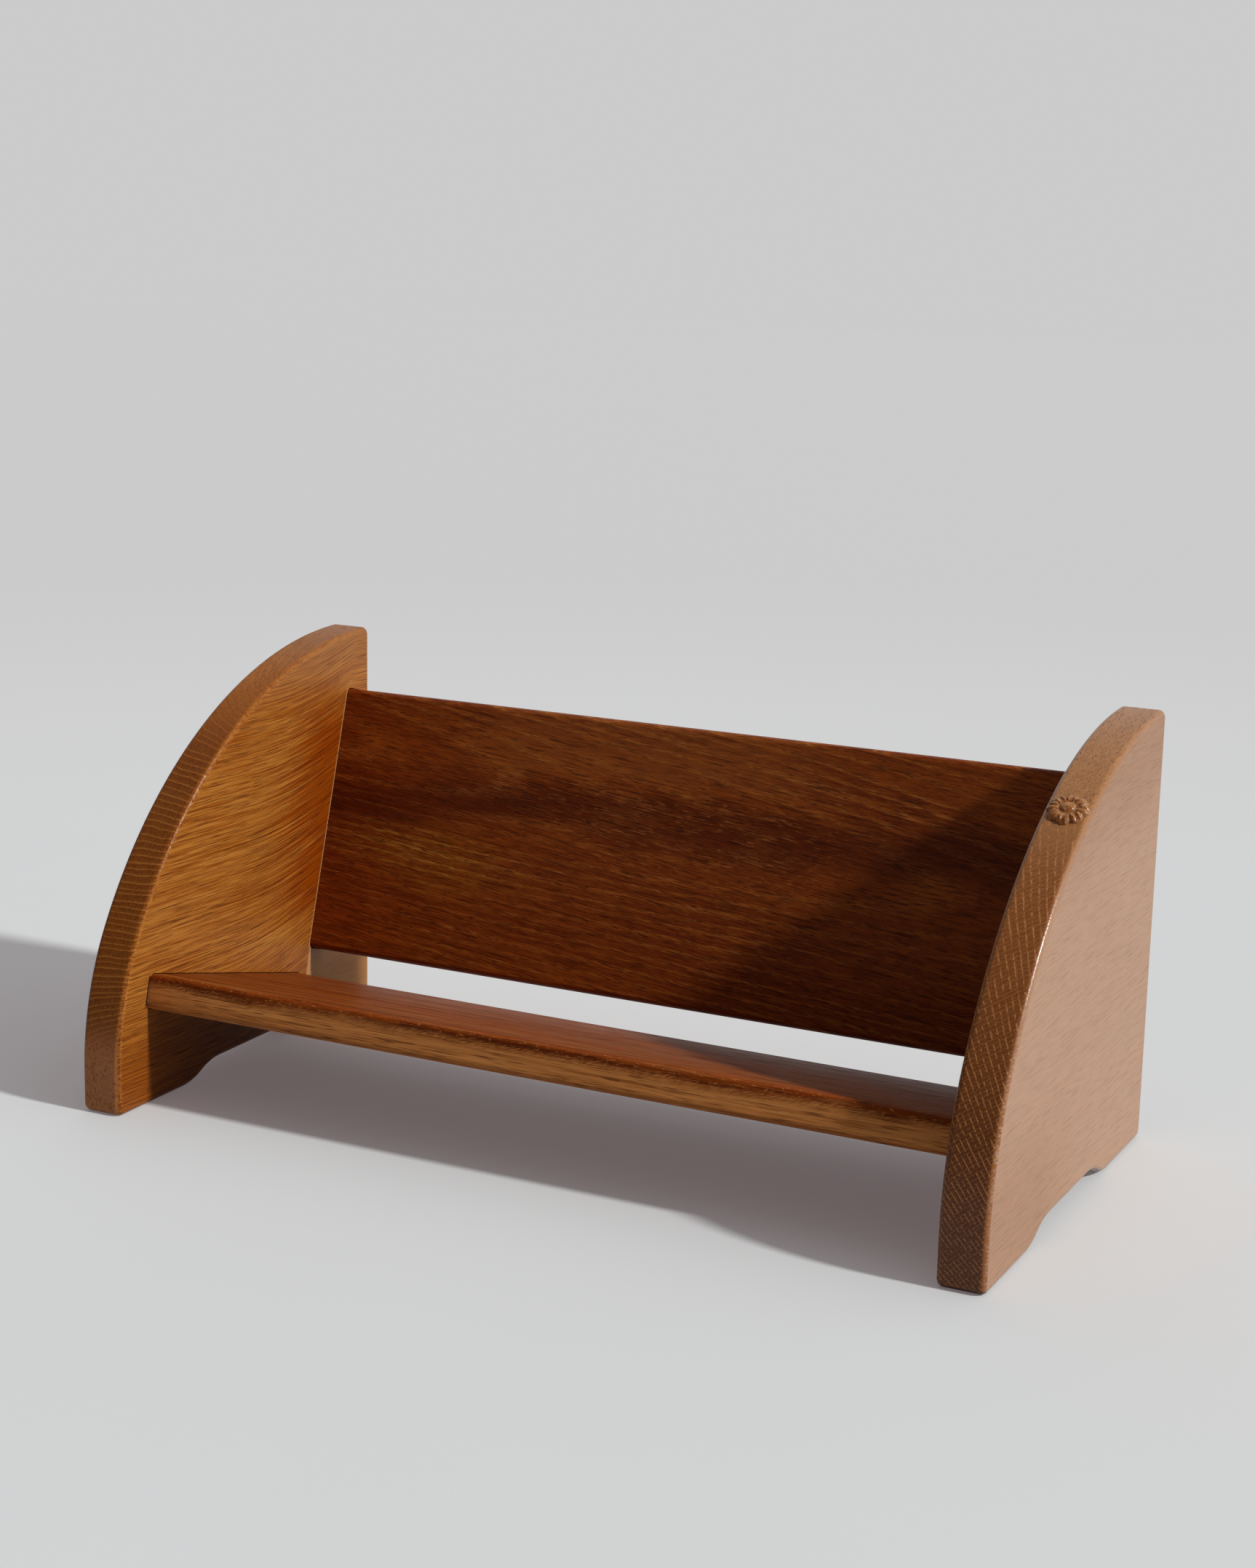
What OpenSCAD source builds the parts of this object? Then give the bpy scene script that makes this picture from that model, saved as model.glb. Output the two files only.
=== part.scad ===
// Oak book trough: two rounded end panels carry a sloping shelf and a leaning back board.
// The boards are let into stopped housings in the end panels and held by blind dowels.
// Frame: X along the trough, +Y to the back, +Z up, origin on the floor under the middle.

/* [Overall] */
// Length over both end panels
overall_length = 460; // [380:5:620]
// Depth of an end panel, front to back
end_depth = 225; // [215:1:255]
// Height of an end panel at its back edge
end_height = 210; // [200:1:240]
// Thickness of an end panel
end_thickness = 22; // [20:0.5:32]

/* [End panel shape] */
// Radius of the lower front curve
front_radius = 140; // [110:1:160]
// Height of the upright foot below the curve
front_rise = 20; // [5:1:30]
// Height of the arch between the feet
arch_height = 7.5; // [4:0.5:11]
// Length of the flat top of the arch
arch_flat = 56; // [30:1:90]
// Length of each curved end of the arch
arch_run = 32; // [22:1:45]

/* [Boards] */
// Rounding of the long edges of the shelf and the back board
edge_round = 3; // [1:0.5:5]

/* [Shelf] */
// Depth of the shelf along its slope
shelf_depth = 133; // [110:1:135]
// Thickness of the shelf
shelf_thickness = 17; // [15:0.5:20]
// Slope of the shelf down toward the back, in degrees
shelf_slope = 14; // [8:0.5:16]
// Distance of the shelf's top front edge behind the front of the ends
shelf_set_back = 27; // [20:0.5:35]
// Height of the shelf's top front edge
shelf_front_height = 65.5; // [60:0.5:80]

/* [Back board] */
// Height of the back board along its lean
back_height = 140; // [110:1:145]
// Thickness of the back board
back_thickness = 16; // [14:0.5:18]
// Lean of the back board from upright, in degrees
back_lean = 16; // [10:0.5:18]
// Distance of the back board's top rear edge from the back of the ends
back_set_in = 5.5; // [3:0.5:15]
// Height of the back board's lower front edge
back_foot_height = 45; // [40:0.5:55]

/* [Joinery] */
// Depth of the stopped housings in the end panels
housing_depth = 7; // [4:0.5:8]
// Clearance round a board in its housing
housing_clearance = 0.1; // [0.05:0.05:0.3]
// Diameter of a dowel
dowel_diameter = 8; // [6:1:10]
// Length of a dowel
dowel_length = 35; // [28:1:50]
// Wood left between a dowel hole and the outer face of an end
dowel_cover = 5; // [3:0.5:8]
// Distance of the outer dowels from the edges of a board
dowel_margin = 25; // [18:1:35]
// Radial clearance of a dowel in its hole
dowel_clearance = 0.05; // [0.02:0.01:0.15]
// Depth left for glue past each end of a dowel
glue_gap = 1; // [0.5:0.25:2]
// Chamfer on the ends of a dowel
dowel_chamfer = 1; // [0.5:0.25:1.5]
// Number of glue grooves along a dowel
groove_count = 4; // [2:1:8]
// Radius of a glue groove
groove_radius = 0.5; // [0.3:0.1:0.8]

/* [Rosette] */
// Diameter of the carved rosette on the right end's front edge
rosette_diameter = 20; // [14:1:22]
// Depth of the rosette's centre below the top of the end
rosette_drop = 28; // [18:1:60]
// Number of petals
petal_count = 8; // [5:1:10]
// Radius of a rounded petal
petal_radius = 3.6; // [2.5:0.1:4.5]
// Radius of the round boss in the middle
boss_radius = 4.2; // [3:0.1:5]

/* [Hidden] */
$fn = 96;
SIDES = ["left", "right"];
SHELF_PLACES = ["front", "middle", "rear"];
BACK_PLACES = ["lower", "middle", "upper"];
function shelf_dowel_name(side, step) = str("shelf_dowel_", side, "_", SHELF_PLACES[step]);
function back_dowel_name(side, step) = str("back_dowel_", side, "_", BACK_PLACES[step]);

oak_panel = "#a5713f";
oak_board = "#7d4b2b";
oak_dowel = "#c9a272";

// Cuts run past the faces that they open
overrun = 5;

// Inner face of the right end panel, floor of its housings, and a board's length between both floors
end_inner = overall_length / 2 - end_thickness;
housing_floor = end_inner + housing_depth;
board_length = 2 * housing_floor;

// The front edge of an end panel is two arcs that meet smoothly: the lower one rises from the
// upright foot, the upper one, the crown, ends level at the back edge
front_centre = [front_radius - end_depth / 2, front_rise];
curve_height = end_height - front_rise;
crown_radius = (pow(end_depth - front_radius, 2) + pow(curve_height, 2) - pow(front_radius, 2))
    / (2 * (curve_height - front_radius));
crown_centre = [end_depth / 2, end_height - crown_radius];
arc_step = front_centre - crown_centre;
meeting_angle = atan2(arc_step[1], arc_step[0]);
meeting_way = [cos(meeting_angle), sin(meeting_angle)];
arc_meeting = front_centre + front_radius * meeting_way;

// The arch's ends are two equal arcs, which dip under the floor so that they cross it cleanly
arch_dip = 0.3;
arch_rise = arch_height + arch_dip;
arch_radius = (pow(arch_run, 2) + pow(arch_rise, 2)) / (4 * arch_rise);

// Top front edge of the shelf and lower front edge of the back board, as [y, z]
shelf_corner = [shelf_set_back - end_depth / 2, shelf_front_height];
back_reach = back_thickness * cos(back_lean) + back_height * sin(back_lean);
back_corner = [end_depth / 2 - back_set_in - back_reach, back_foot_height];

// Dowel places across a board of a given width
function dowel_steps(width) = [dowel_margin, width / 2, width - dowel_margin];
hole_length = dowel_length + 2 * glue_gap;
hole_start = overall_length / 2 - dowel_cover - hole_length;
dowel_start = hole_start + glue_gap;
hole_radius = dowel_diameter / 2 + dowel_clearance;

// Place of the rosette on the crown
rosette_angle = 90 + acos(1 - rosette_drop / crown_radius);
petal_ring = rosette_diameter / 2 - petal_radius;

// Turns a drawing of [y, z] into the object's frame, with its height along X
module across(start) {
    translate([start, 0, 0]) rotate([90, 0, 90]) children();
}

// Mirrors what is drawn for the right end where the left one is asked for
module on_side(side) {
    mirror([side == "left" ? 1 : 0, 0, 0]) children();
}

// A rectangle with rounded corners, grown on every side
module rounded_rectangle(width, height, radius, grow = 0) {
    r = radius + grow;
    translate([radius, -grow]) square([width - 2 * radius, height + 2 * grow]);
    translate([-grow, radius]) square([width + 2 * grow, height - 2 * radius]);
    for (x = [radius, width - radius], y = [radius, height - radius])
        translate([x, y]) circle(r);
}

// Section of the shelf: depth along the drawing's x, top face at y = 0
module shelf_section(grow = 0) {
    translate(shelf_corner) rotate(-shelf_slope) translate([0, -shelf_thickness])
        rounded_rectangle(shelf_depth, shelf_thickness, edge_round, grow);
}

// Section of the back board: front face at x = 0, height along the drawing's y
module back_section(grow = 0) {
    translate(back_corner) rotate(-back_lean)
        rounded_rectangle(back_thickness, back_height, edge_round, grow);
}

// Puts children at a dowel's place in the section of the shelf
module at_shelf_dowel(step) {
    translate(shelf_corner) rotate(-shelf_slope)
        translate([dowel_steps(shelf_depth)[step], -shelf_thickness / 2]) children();
}

// Puts children at a dowel's place in the section of the back board
module at_back_dowel(step) {
    translate(back_corner) rotate(-back_lean)
        translate([back_thickness / 2, dowel_steps(back_height)[step]]) children();
}

// The arch between the feet, as a cut that starts under the floor
module arch_cut() {
    half = arch_flat / 2;
    translate([-half, -overrun]) square([arch_flat, arch_height + overrun]);
    for (m = [0, 1]) mirror([m, 0]) {
        intersection() {
            translate([half, arch_height - arch_radius]) circle(arch_radius);
            translate([half - overrun, -overrun]) square([arch_run / 2 + overrun, arch_height + overrun]);
        }
        difference() {
            translate([half, -overrun]) square([arch_run, arch_height - arch_rise / 2 + overrun]);
            translate([half + arch_run, arch_radius - arch_dip]) circle(arch_radius);
        }
    }
}

// Side view of an end panel without its arch
module end_outline() {
    front = -end_depth / 2 - overrun;
    back = end_depth / 2 + overrun;
    top = end_height + overrun;
    difference() {
        translate([-end_depth / 2, 0]) square([end_depth, end_height]);
        difference() {
            polygon([
                front_centre, [front, front_rise], [front, top], [arc_meeting[0], top], arc_meeting]);
            translate(front_centre) circle(front_radius);
        }
        difference() {
            polygon([
                crown_centre, arc_meeting, arc_meeting + overrun * meeting_way,
                [front, top], [back, top], [back, crown_centre[1]]]);
            translate(crown_centre) circle(crown_radius);
        }
    }
}

// Round rosette carved on the front edge of the right end panel
module rosette() {
    translate([end_inner + end_thickness / 2, crown_centre[0], crown_centre[1]])
        rotate([rosette_angle - 90, 0, 0]) translate([0, 0, crown_radius]) {
            sphere(boss_radius);
            for (k = [1:petal_count]) rotate(k * 360 / petal_count)
                translate([petal_ring, 0, 0]) sphere(petal_radius);
        }
}

// The right end panel with its housings and dowel holes; the left one is its mirror image
module end_panel() {
    difference() {
        across(end_inner) linear_extrude(end_thickness) difference() {
            end_outline();
            arch_cut();
        }
        across(end_inner - overrun) linear_extrude(housing_depth + overrun) {
            shelf_section(housing_clearance);
            back_section(housing_clearance);
        }
        shelf_holes();
        back_holes();
    }
}

// The dowel holes at the right end of the shelf, in shelf and panel alike
module shelf_holes() {
    across(hole_start) for (step = [0:2]) at_shelf_dowel(step) cylinder(h = hole_length, r = hole_radius);
}

// The dowel holes at the right end of the back board, in board and panel alike
module back_holes() {
    across(hole_start) for (step = [0:2]) at_back_dowel(step) cylinder(h = hole_length, r = hole_radius);
}

// One dowel along the drawing's z, with chamfered ends and glue grooves
module dowel() {
    radius = dowel_diameter / 2;
    color(oak_dowel) difference() {
        rotate_extrude() polygon([
            [0, 0], [radius - dowel_chamfer, 0], [radius, dowel_chamfer],
            [radius, dowel_length - dowel_chamfer], [radius - dowel_chamfer, dowel_length],
            [0, dowel_length]]);
        for (k = [1:groove_count]) rotate(k * 360 / groove_count)
            translate([radius, 0, -overrun]) cylinder(h = dowel_length + 2 * overrun, r = groove_radius);
    }
}

module left_end() {
    color(oak_panel) on_side("left") end_panel();
}

module right_end() {
    color(oak_panel) {
        end_panel();
        rosette();
    }
}

module shelf() {
    color(oak_board) difference() {
        across(-housing_floor) linear_extrude(board_length) shelf_section();
        for (side = SIDES) on_side(side) shelf_holes();
    }
}

module back_board() {
    color(oak_board) difference() {
        across(-housing_floor) linear_extrude(board_length) back_section();
        for (side = SIDES) on_side(side) back_holes();
    }
}

module shelf_dowel(side, step) {
    on_side(side) across(dowel_start) at_shelf_dowel(step) dowel();
}

module back_dowel(side, step) {
    on_side(side) across(dowel_start) at_back_dowel(step) dowel();
}

left_end();
right_end();
shelf();
back_board();
for (side = SIDES, step = [0:2]) {
    shelf_dowel(side, step);
    back_dowel(side, step);
}
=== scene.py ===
"""Dresses an oak book trough: two rounded end panels, a sloping shelf and a leaning back board."""

from __future__ import annotations

import logging
import math
from dataclasses import dataclass, field
from enum import Enum
from functools import cached_property
from typing import Any, Callable, Optional, Sequence, Union

import bmesh
import bpy
from mathutils import Matrix, Vector

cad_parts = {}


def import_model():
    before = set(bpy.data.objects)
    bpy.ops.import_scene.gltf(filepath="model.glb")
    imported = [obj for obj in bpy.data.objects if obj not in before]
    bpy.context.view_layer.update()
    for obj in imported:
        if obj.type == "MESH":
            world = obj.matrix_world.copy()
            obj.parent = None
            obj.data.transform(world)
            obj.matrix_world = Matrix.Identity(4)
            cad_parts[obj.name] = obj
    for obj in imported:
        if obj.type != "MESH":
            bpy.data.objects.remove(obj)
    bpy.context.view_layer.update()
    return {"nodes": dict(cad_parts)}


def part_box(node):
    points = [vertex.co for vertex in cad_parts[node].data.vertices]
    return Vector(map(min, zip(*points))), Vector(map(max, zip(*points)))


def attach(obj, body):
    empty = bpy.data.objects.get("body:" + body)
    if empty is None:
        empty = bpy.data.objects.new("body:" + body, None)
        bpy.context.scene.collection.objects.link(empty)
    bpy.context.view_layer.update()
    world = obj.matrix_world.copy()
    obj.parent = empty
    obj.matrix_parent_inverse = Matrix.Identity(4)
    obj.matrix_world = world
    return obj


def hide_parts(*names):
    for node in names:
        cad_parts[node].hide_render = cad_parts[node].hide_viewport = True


LOG = logging.getLogger("book_trough")

MM = 0.001
TOUCH = 1e-5

SMOOTH_ANGLE = math.radians(32)
NORMAL_WEIGHT = 80
CORNER_TURN = -90
FINE_STEPS = 8

Socket = bpy.types.NodeSocket
Number = Union[float, Socket]
Colour = tuple[float, float, float]
Point = tuple[float, float, float]
Triple = Union[Colour, Point, Socket]

# A ramp says where a share is 0 and where it is 1. A limit is a value with its ramp, or a ready share.
Ramp = tuple[float, float]
Limit = Union[Socket, tuple[Socket, Ramp]]


class Side(Enum):
    """The two ends of the trough, as seen from the front."""

    LEFT = -1
    RIGHT = 1

    @property
    def word(self) -> str:
        """The side's word in the names of nodes."""
        return self.name.lower()


class Joint(Enum):
    """The joints of the two boards, with the places of their dowels."""

    SHELF = ("front", "middle", "rear")
    BACK = ("lower", "middle", "upper")

    def dowels(self, *sides: Side) -> tuple[str, ...]:
        """Names the nodes of the dowels that hold this board at some ends."""
        board = self.name.lower()
        return tuple(f"{board}_dowel_{side.word}_{place}" for side in sides for place in self.value)


class Blend(Enum):
    """How two colours are blended."""

    MIX = "MIX"
    MULTIPLY = "MULTIPLY"


class Joining(Enum):
    """What another form does to a piece."""

    CUT = "DIFFERENCE"
    ADD = "UNION"


class NodeBench:
    """Adds nodes to one node tree and links them."""

    def __init__(self, tree: bpy.types.NodeTree) -> None:
        """Keeps the tree that the nodes go into and clears it."""
        self.tree = tree
        tree.nodes.clear()

    def fill(self, socket: Socket, value: Any) -> None:
        """Links an output to a socket, or sets the socket's own value.

        Args:
            socket: The input that is filled.
            value: An output of another node, a number, or a colour or vector of three numbers.
        """
        if isinstance(value, Socket):
            self.tree.links.new(value, socket)
        elif socket.type == "RGBA" and len(value) == 3:
            socket.default_value = (*value, 1.0)
        else:
            socket.default_value = value

    def node(self, kind: str, **settings: Any) -> bpy.types.Node:
        """Adds a node of a kind and sets its properties.

        Args:
            kind: The node's type in Blender.
            settings: Properties of the node by name.

        Returns:
            The new node.
        """
        made = self.tree.nodes.new(kind)
        for name, value in settings.items():
            setattr(made, name, value)
        return made

    def surface(self, kind: str, shader: Socket) -> None:
        """Ends the tree with an output of a kind that shows a shader."""
        self.tree.links.new(shader, self.node(kind).inputs["Surface"])

    def math(self, operation: str, *values: Number, clamp: bool = False) -> Socket:
        """Adds a Math node.

        Args:
            operation: The operation's name.
            values: Its inputs in order.
            clamp: Whether the result is kept between 0 and 1.

        Returns:
            The result.
        """
        made = self.node("ShaderNodeMath", operation=operation, use_clamp=clamp)
        for socket, value in zip(made.inputs, values):
            self.fill(socket, value)
        return made.outputs["Value"]

    def product(self, first: Number, *others: Number) -> Socket:
        """Multiplies numbers."""
        for other in others:
            first = self.math("MULTIPLY", first, other)
        return first

    def plus(self, base: Number, value: Socket, factor: Number) -> Socket:
        """Adds a value times a factor to a base."""
        return self.math("MULTIPLY_ADD", value, factor, base)

    def apart(self, value: Socket, centre: float) -> Socket:
        """Measures how far a number is from a centre."""
        return self.math("ABSOLUTE", self.math("SUBTRACT", value, centre))

    def frayed(self, value: Socket, noise: Socket, amount: float) -> Socket:
        """Moves a value to and fro by a noise that lies about 0.5."""
        return self.plus(value, self.math("SUBTRACT", noise, 0.5), amount)

    def vector(self, operation: str, first: Triple, second: Triple) -> bpy.types.Node:
        """Adds a Vector Math node of two vectors.

        Args:
            operation: The operation's name.
            first: The first vector.
            second: The second vector.

        Returns:
            The node, whose Vector or Value output the caller takes.
        """
        made = self.node("ShaderNodeVectorMath", operation=operation)
        self.fill(made.inputs[0], first)
        self.fill(made.inputs[1], second)
        return made

    def dot(self, first: Socket, second: Point) -> Socket:
        """Multiplies two vectors to one number."""
        return self.vector("DOT_PRODUCT", first, second).outputs["Value"]

    def length(self, place: Socket) -> Socket:
        """Measures a vector."""
        return self.vector("LENGTH", place, (0, 0, 0)).outputs["Value"]

    def parts(self, place: Socket) -> tuple[Socket, Socket, Socket]:
        """Splits a vector into its three numbers."""
        made = self.node("ShaderNodeSeparateXYZ")
        self.fill(made.inputs[0], place)
        return made.outputs[0], made.outputs[1], made.outputs[2]

    def joined(self, *values: Number) -> Socket:
        """Makes a vector of three numbers."""
        made = self.node("ShaderNodeCombineXYZ")
        for socket, value in zip(made.inputs, values):
            self.fill(socket, value)
        return made.outputs[0]

    def noise(self, place: Socket, detail: float = 2.0, roughness: float = 0.5) -> Socket:
        """Adds noise whose features are about one unit of its place wide.

        Args:
            place: The vector that is read.
            detail: How many finer layers it has.
            roughness: How strong the finer layers are.

        Returns:
            A number about 0.5, mostly between 0.25 and 0.75.
        """
        made = self.node("ShaderNodeTexNoise")
        self.fill(made.inputs["Vector"], place)
        made.inputs["Scale"].default_value = 1.0
        made.inputs["Detail"].default_value = detail
        made.inputs["Roughness"].default_value = roughness
        return made.outputs["Fac"]

    def step(self, value: Socket, ramp: Ramp) -> Socket:
        """Turns a value into a share that runs smoothly along a ramp."""
        made = self.node("ShaderNodeMapRange", interpolation_type="SMOOTHSTEP")
        rising = ramp[0] < ramp[1]
        self.fill(made.inputs["Value"], value)
        made.inputs["From Min"].default_value = min(ramp)
        made.inputs["From Max"].default_value = max(ramp)
        made.inputs["To Min"].default_value = 0.0 if rising else 1.0
        made.inputs["To Max"].default_value = 1.0 if rising else 0.0
        return made.outputs["Result"]

    def within(self, *limits: Limit, share: Optional[float] = None) -> Socket:
        """Makes the share of a zone that lies within several limits.

        Args:
            limits: Values with their ramps, or ready shares.
            share: How strong the zone is at most, if it is not full.

        Returns:
            The product of them all.
        """
        shares = [self.step(*limit) if isinstance(limit, tuple) else limit for limit in limits]
        if share is not None:
            shares.append(share)
        return self.product(*shares)

    def profile(self, value: Socket, stops: Sequence[tuple[float, float]]) -> Socket:
        """Reads a height off a chain of stops.

        Args:
            value: A number from 0 to 1.
            stops: Pairs of place and height, in order.

        Returns:
            The height at that place.
        """
        made = self.node("ShaderNodeValToRGB")
        elements = made.color_ramp.elements
        while len(elements) < len(stops):
            elements.new(0.5)
        for element, (place, height) in zip(elements, stops):
            element.position = place
            element.color = (height, height, height, 1.0)
        self.fill(made.inputs["Fac"], value)
        return made.outputs["Color"]

    def mix(self, share: Number, first: Triple, second: Triple, mode: Blend = Blend.MIX) -> Socket:
        """Blends two colours.

        Args:
            share: How much of the second there is.
            first: The first colour.
            second: The second colour.
            mode: How they are blended.

        Returns:
            The blended colour.
        """
        made = self.node("ShaderNodeMix", data_type="RGBA", blend_type=mode.value)
        made.clamp_factor = True
        inputs = [socket for socket in made.inputs if socket.enabled]
        for socket, value in zip(inputs, (share, first, second)):
            self.fill(socket, value)
        return next(socket for socket in made.outputs if socket.enabled)

    def tinted(self, share: Socket, colour: Triple, tint: Triple) -> Socket:
        """Multiplies a colour by a tint where the share is 1."""
        return self.mix(share, colour, self.mix(1.0, colour, tint, Blend.MULTIPLY))

    def spared(self, share: Socket, colour: Triple, tint: Triple) -> Socket:
        """Multiplies a colour by a tint where the share is 0."""
        return self.mix(share, self.mix(1.0, colour, tint, Blend.MULTIPLY), colour)

    def bump(self, height: Socket, distance: float, strength: float,
             under: Optional[Socket] = None) -> Socket:
        """Adds a Bump node.

        Args:
            height: The height that it reads.
            distance: The real height of one unit, in metres.
            strength: Its share, from 0 to 1.
            under: A normal that it builds on.

        Returns:
            The bumped normal.
        """
        made = self.node("ShaderNodeBump")
        made.inputs["Strength"].default_value = strength
        made.inputs["Distance"].default_value = distance
        self.fill(made.inputs["Height"], height)
        if under is not None:
            self.fill(made.inputs["Normal"], under)
        return made.outputs["Normal"]


@dataclass(frozen=True)
class Cloud:
    """Noise that is squeezed by a factor along each axis.

    Attributes:
        scale: Changes for each unit of place, along the three axes.
        detail: How many finer layers it has.
        roughness: How strong the finer layers are.
    """

    scale: Point
    detail: float = 2.0
    roughness: float = 0.5

    def read(self, bench: NodeBench, place: Socket) -> Socket:
        """Reads the noise at a place, as a number about 0.5."""
        squeezed = bench.vector("MULTIPLY", place, self.scale).outputs["Vector"]
        return bench.noise(squeezed, self.detail, self.roughness)


@dataclass(frozen=True)
class Thread:
    """Noise that is drawn out along the grain.

    Attributes:
        along: Changes for each millimetre along the grain.
        across: Changes for each millimetre across it, in grain of common fineness.
        detail: How many finer layers it has.
        roughness: How strong the finer layers are.
    """

    along: float
    across: float
    detail: float
    roughness: float = 0.6

    def read(self, bench: NodeBench, place: Socket, fine: float) -> Socket:
        """Reads the noise at a place of wood of some fineness, as a number about 0.5."""
        across = self.across * fine
        return Cloud((self.along, across, across), self.detail, self.roughness).read(bench, place)


@dataclass(frozen=True)
class Plane:
    """A plane that a zone of colour is measured from.

    Attributes:
        point: A point on it, in millimetres.
        facing: The direction in which distances count up.
    """

    point: Point
    facing: Point

    def distance(self, bench: NodeBench, metres: Socket) -> Socket:
        """Measures how far a point lies in front of the plane.

        Args:
            bench: The bench that gets the nodes.
            metres: The point in the object's frame.

        Returns:
            The distance in millimetres, which is below zero behind the plane.
        """
        point = tuple(MM * value for value in self.point)
        facing = tuple(Vector(self.facing).normalized() / MM)
        return bench.dot(bench.vector("SUBTRACT", metres, point).outputs["Vector"], facing)


BACK_LEAN = math.radians(16)
SHELF_SLOPE = math.radians(14)
BACK_LOW_ARRIS = (0, 53.03, 45)
SHELF_FRONT_ARRIS = (0, -85.5, 65.5)
FLOOR = Plane((0, 0, 0), (0, 0, 1))
LEFT_FACE = Plane((-208, 0, 0), (1, 0, 0))
BACK_FACE = Plane(BACK_LOW_ARRIS, (0, -math.cos(BACK_LEAN), math.sin(BACK_LEAN)))
BACK_FOOT = Plane(BACK_LOW_ARRIS, (0, math.sin(BACK_LEAN), math.cos(BACK_LEAN)))
SHELF_TOP = Plane(SHELF_FRONT_ARRIS, (0, math.sin(SHELF_SLOPE), math.cos(SHELF_SLOPE)))
SHELF_FRONT = Plane(SHELF_FRONT_ARRIS, (0, -math.cos(SHELF_SLOPE), math.sin(SHELF_SLOPE)))

# Patterns of oak, read along grain, tangent and radius
FIBRE = Thread(0.035, 1.7, 3.0)
STREAK = Thread(0.009, 0.7, 4.0)
VESSELS = Thread(0.06, 2.3, 1.0)
FLECKS = Thread(0.05, 1.9, 1.5)
VEINS = Thread(0.02, 0.9, 2.0)
CRACKS = Thread(0.005, 0.9, 0.0)
PATCHES = Cloud((0.008, 0.035, 0.035))
END_SPECKS = Cloud((0.1, 1.3, 1.3), 2.0, 0.6)
RING_STRAY = Cloud((0.004, 0.03, 0.03), 3.0)
RAY_STRAY = Cloud((0.05, 0.08, 0.08))
RAY_BREAKS = Cloud((0.05, 1.7, 1.0), 2.0, 0.7)
SPRING = ((0.0, 0.3), (0.07, 1.0), (0.2, 0.8), (0.42, 0.15), (0.9, 0.0), (1.0, 0.3))
RING_LINE = ((0.0, 1.0), (0.06, 0.9), (0.15, 0.25), (0.4, 0.08), (0.9, 0.0), (0.97, 0.9), (1.0, 1.0))

# Ramps of those patterns, and of how far the surface looks along a direction
PORE_RAMP = (0.59, 0.68)
FLECK_RAMP = (0.84, 0.94)
PATCH_RAMP = (0.34, 0.66)
STREAK_RAMP = (0.24, 0.62)
FIBRE_RAMP = (0.3, 0.55)
RING_SPECK_RAMP = (0.22, 0.5)
BODY_SPECK_RAMP = (0.35, 0.6)
TEETH_RAMP = (0.42, 0.56)
WORN_RAMP = (0.84, 0.95)
END_RAMP = (0.40, 0.66)
ARRIS_RAMPS = ((0.15, 0.45), (0.985, 0.9))
INNER_RAMP = (0.4, 0.8)
RIM_RAMP = (0.7, 0.3)

# Ramps in millimetres of a thin line, and of the places before and behind the back board
LINE_RAMP = (0.9, 0.4)
BEFORE_RAMP = (-1.0, 0.5)
BEHIND_RAMP = (0.5, -1.0)

# How much the patterns add to each other, to the relief and to the roughness
EARLY_PORES = 0.06
EARLY_FLECKS = 0.14
PATCHY_FLECKS = 0.35
PORE_RELIEF = -0.7
BUMP_STRENGTH = 0.5
WAX_SPREAD = 0.15
ROUGHER = {"pore": 0.2, "fibre": 0.16, "streak": 0.14, "end": 0.05}


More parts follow.
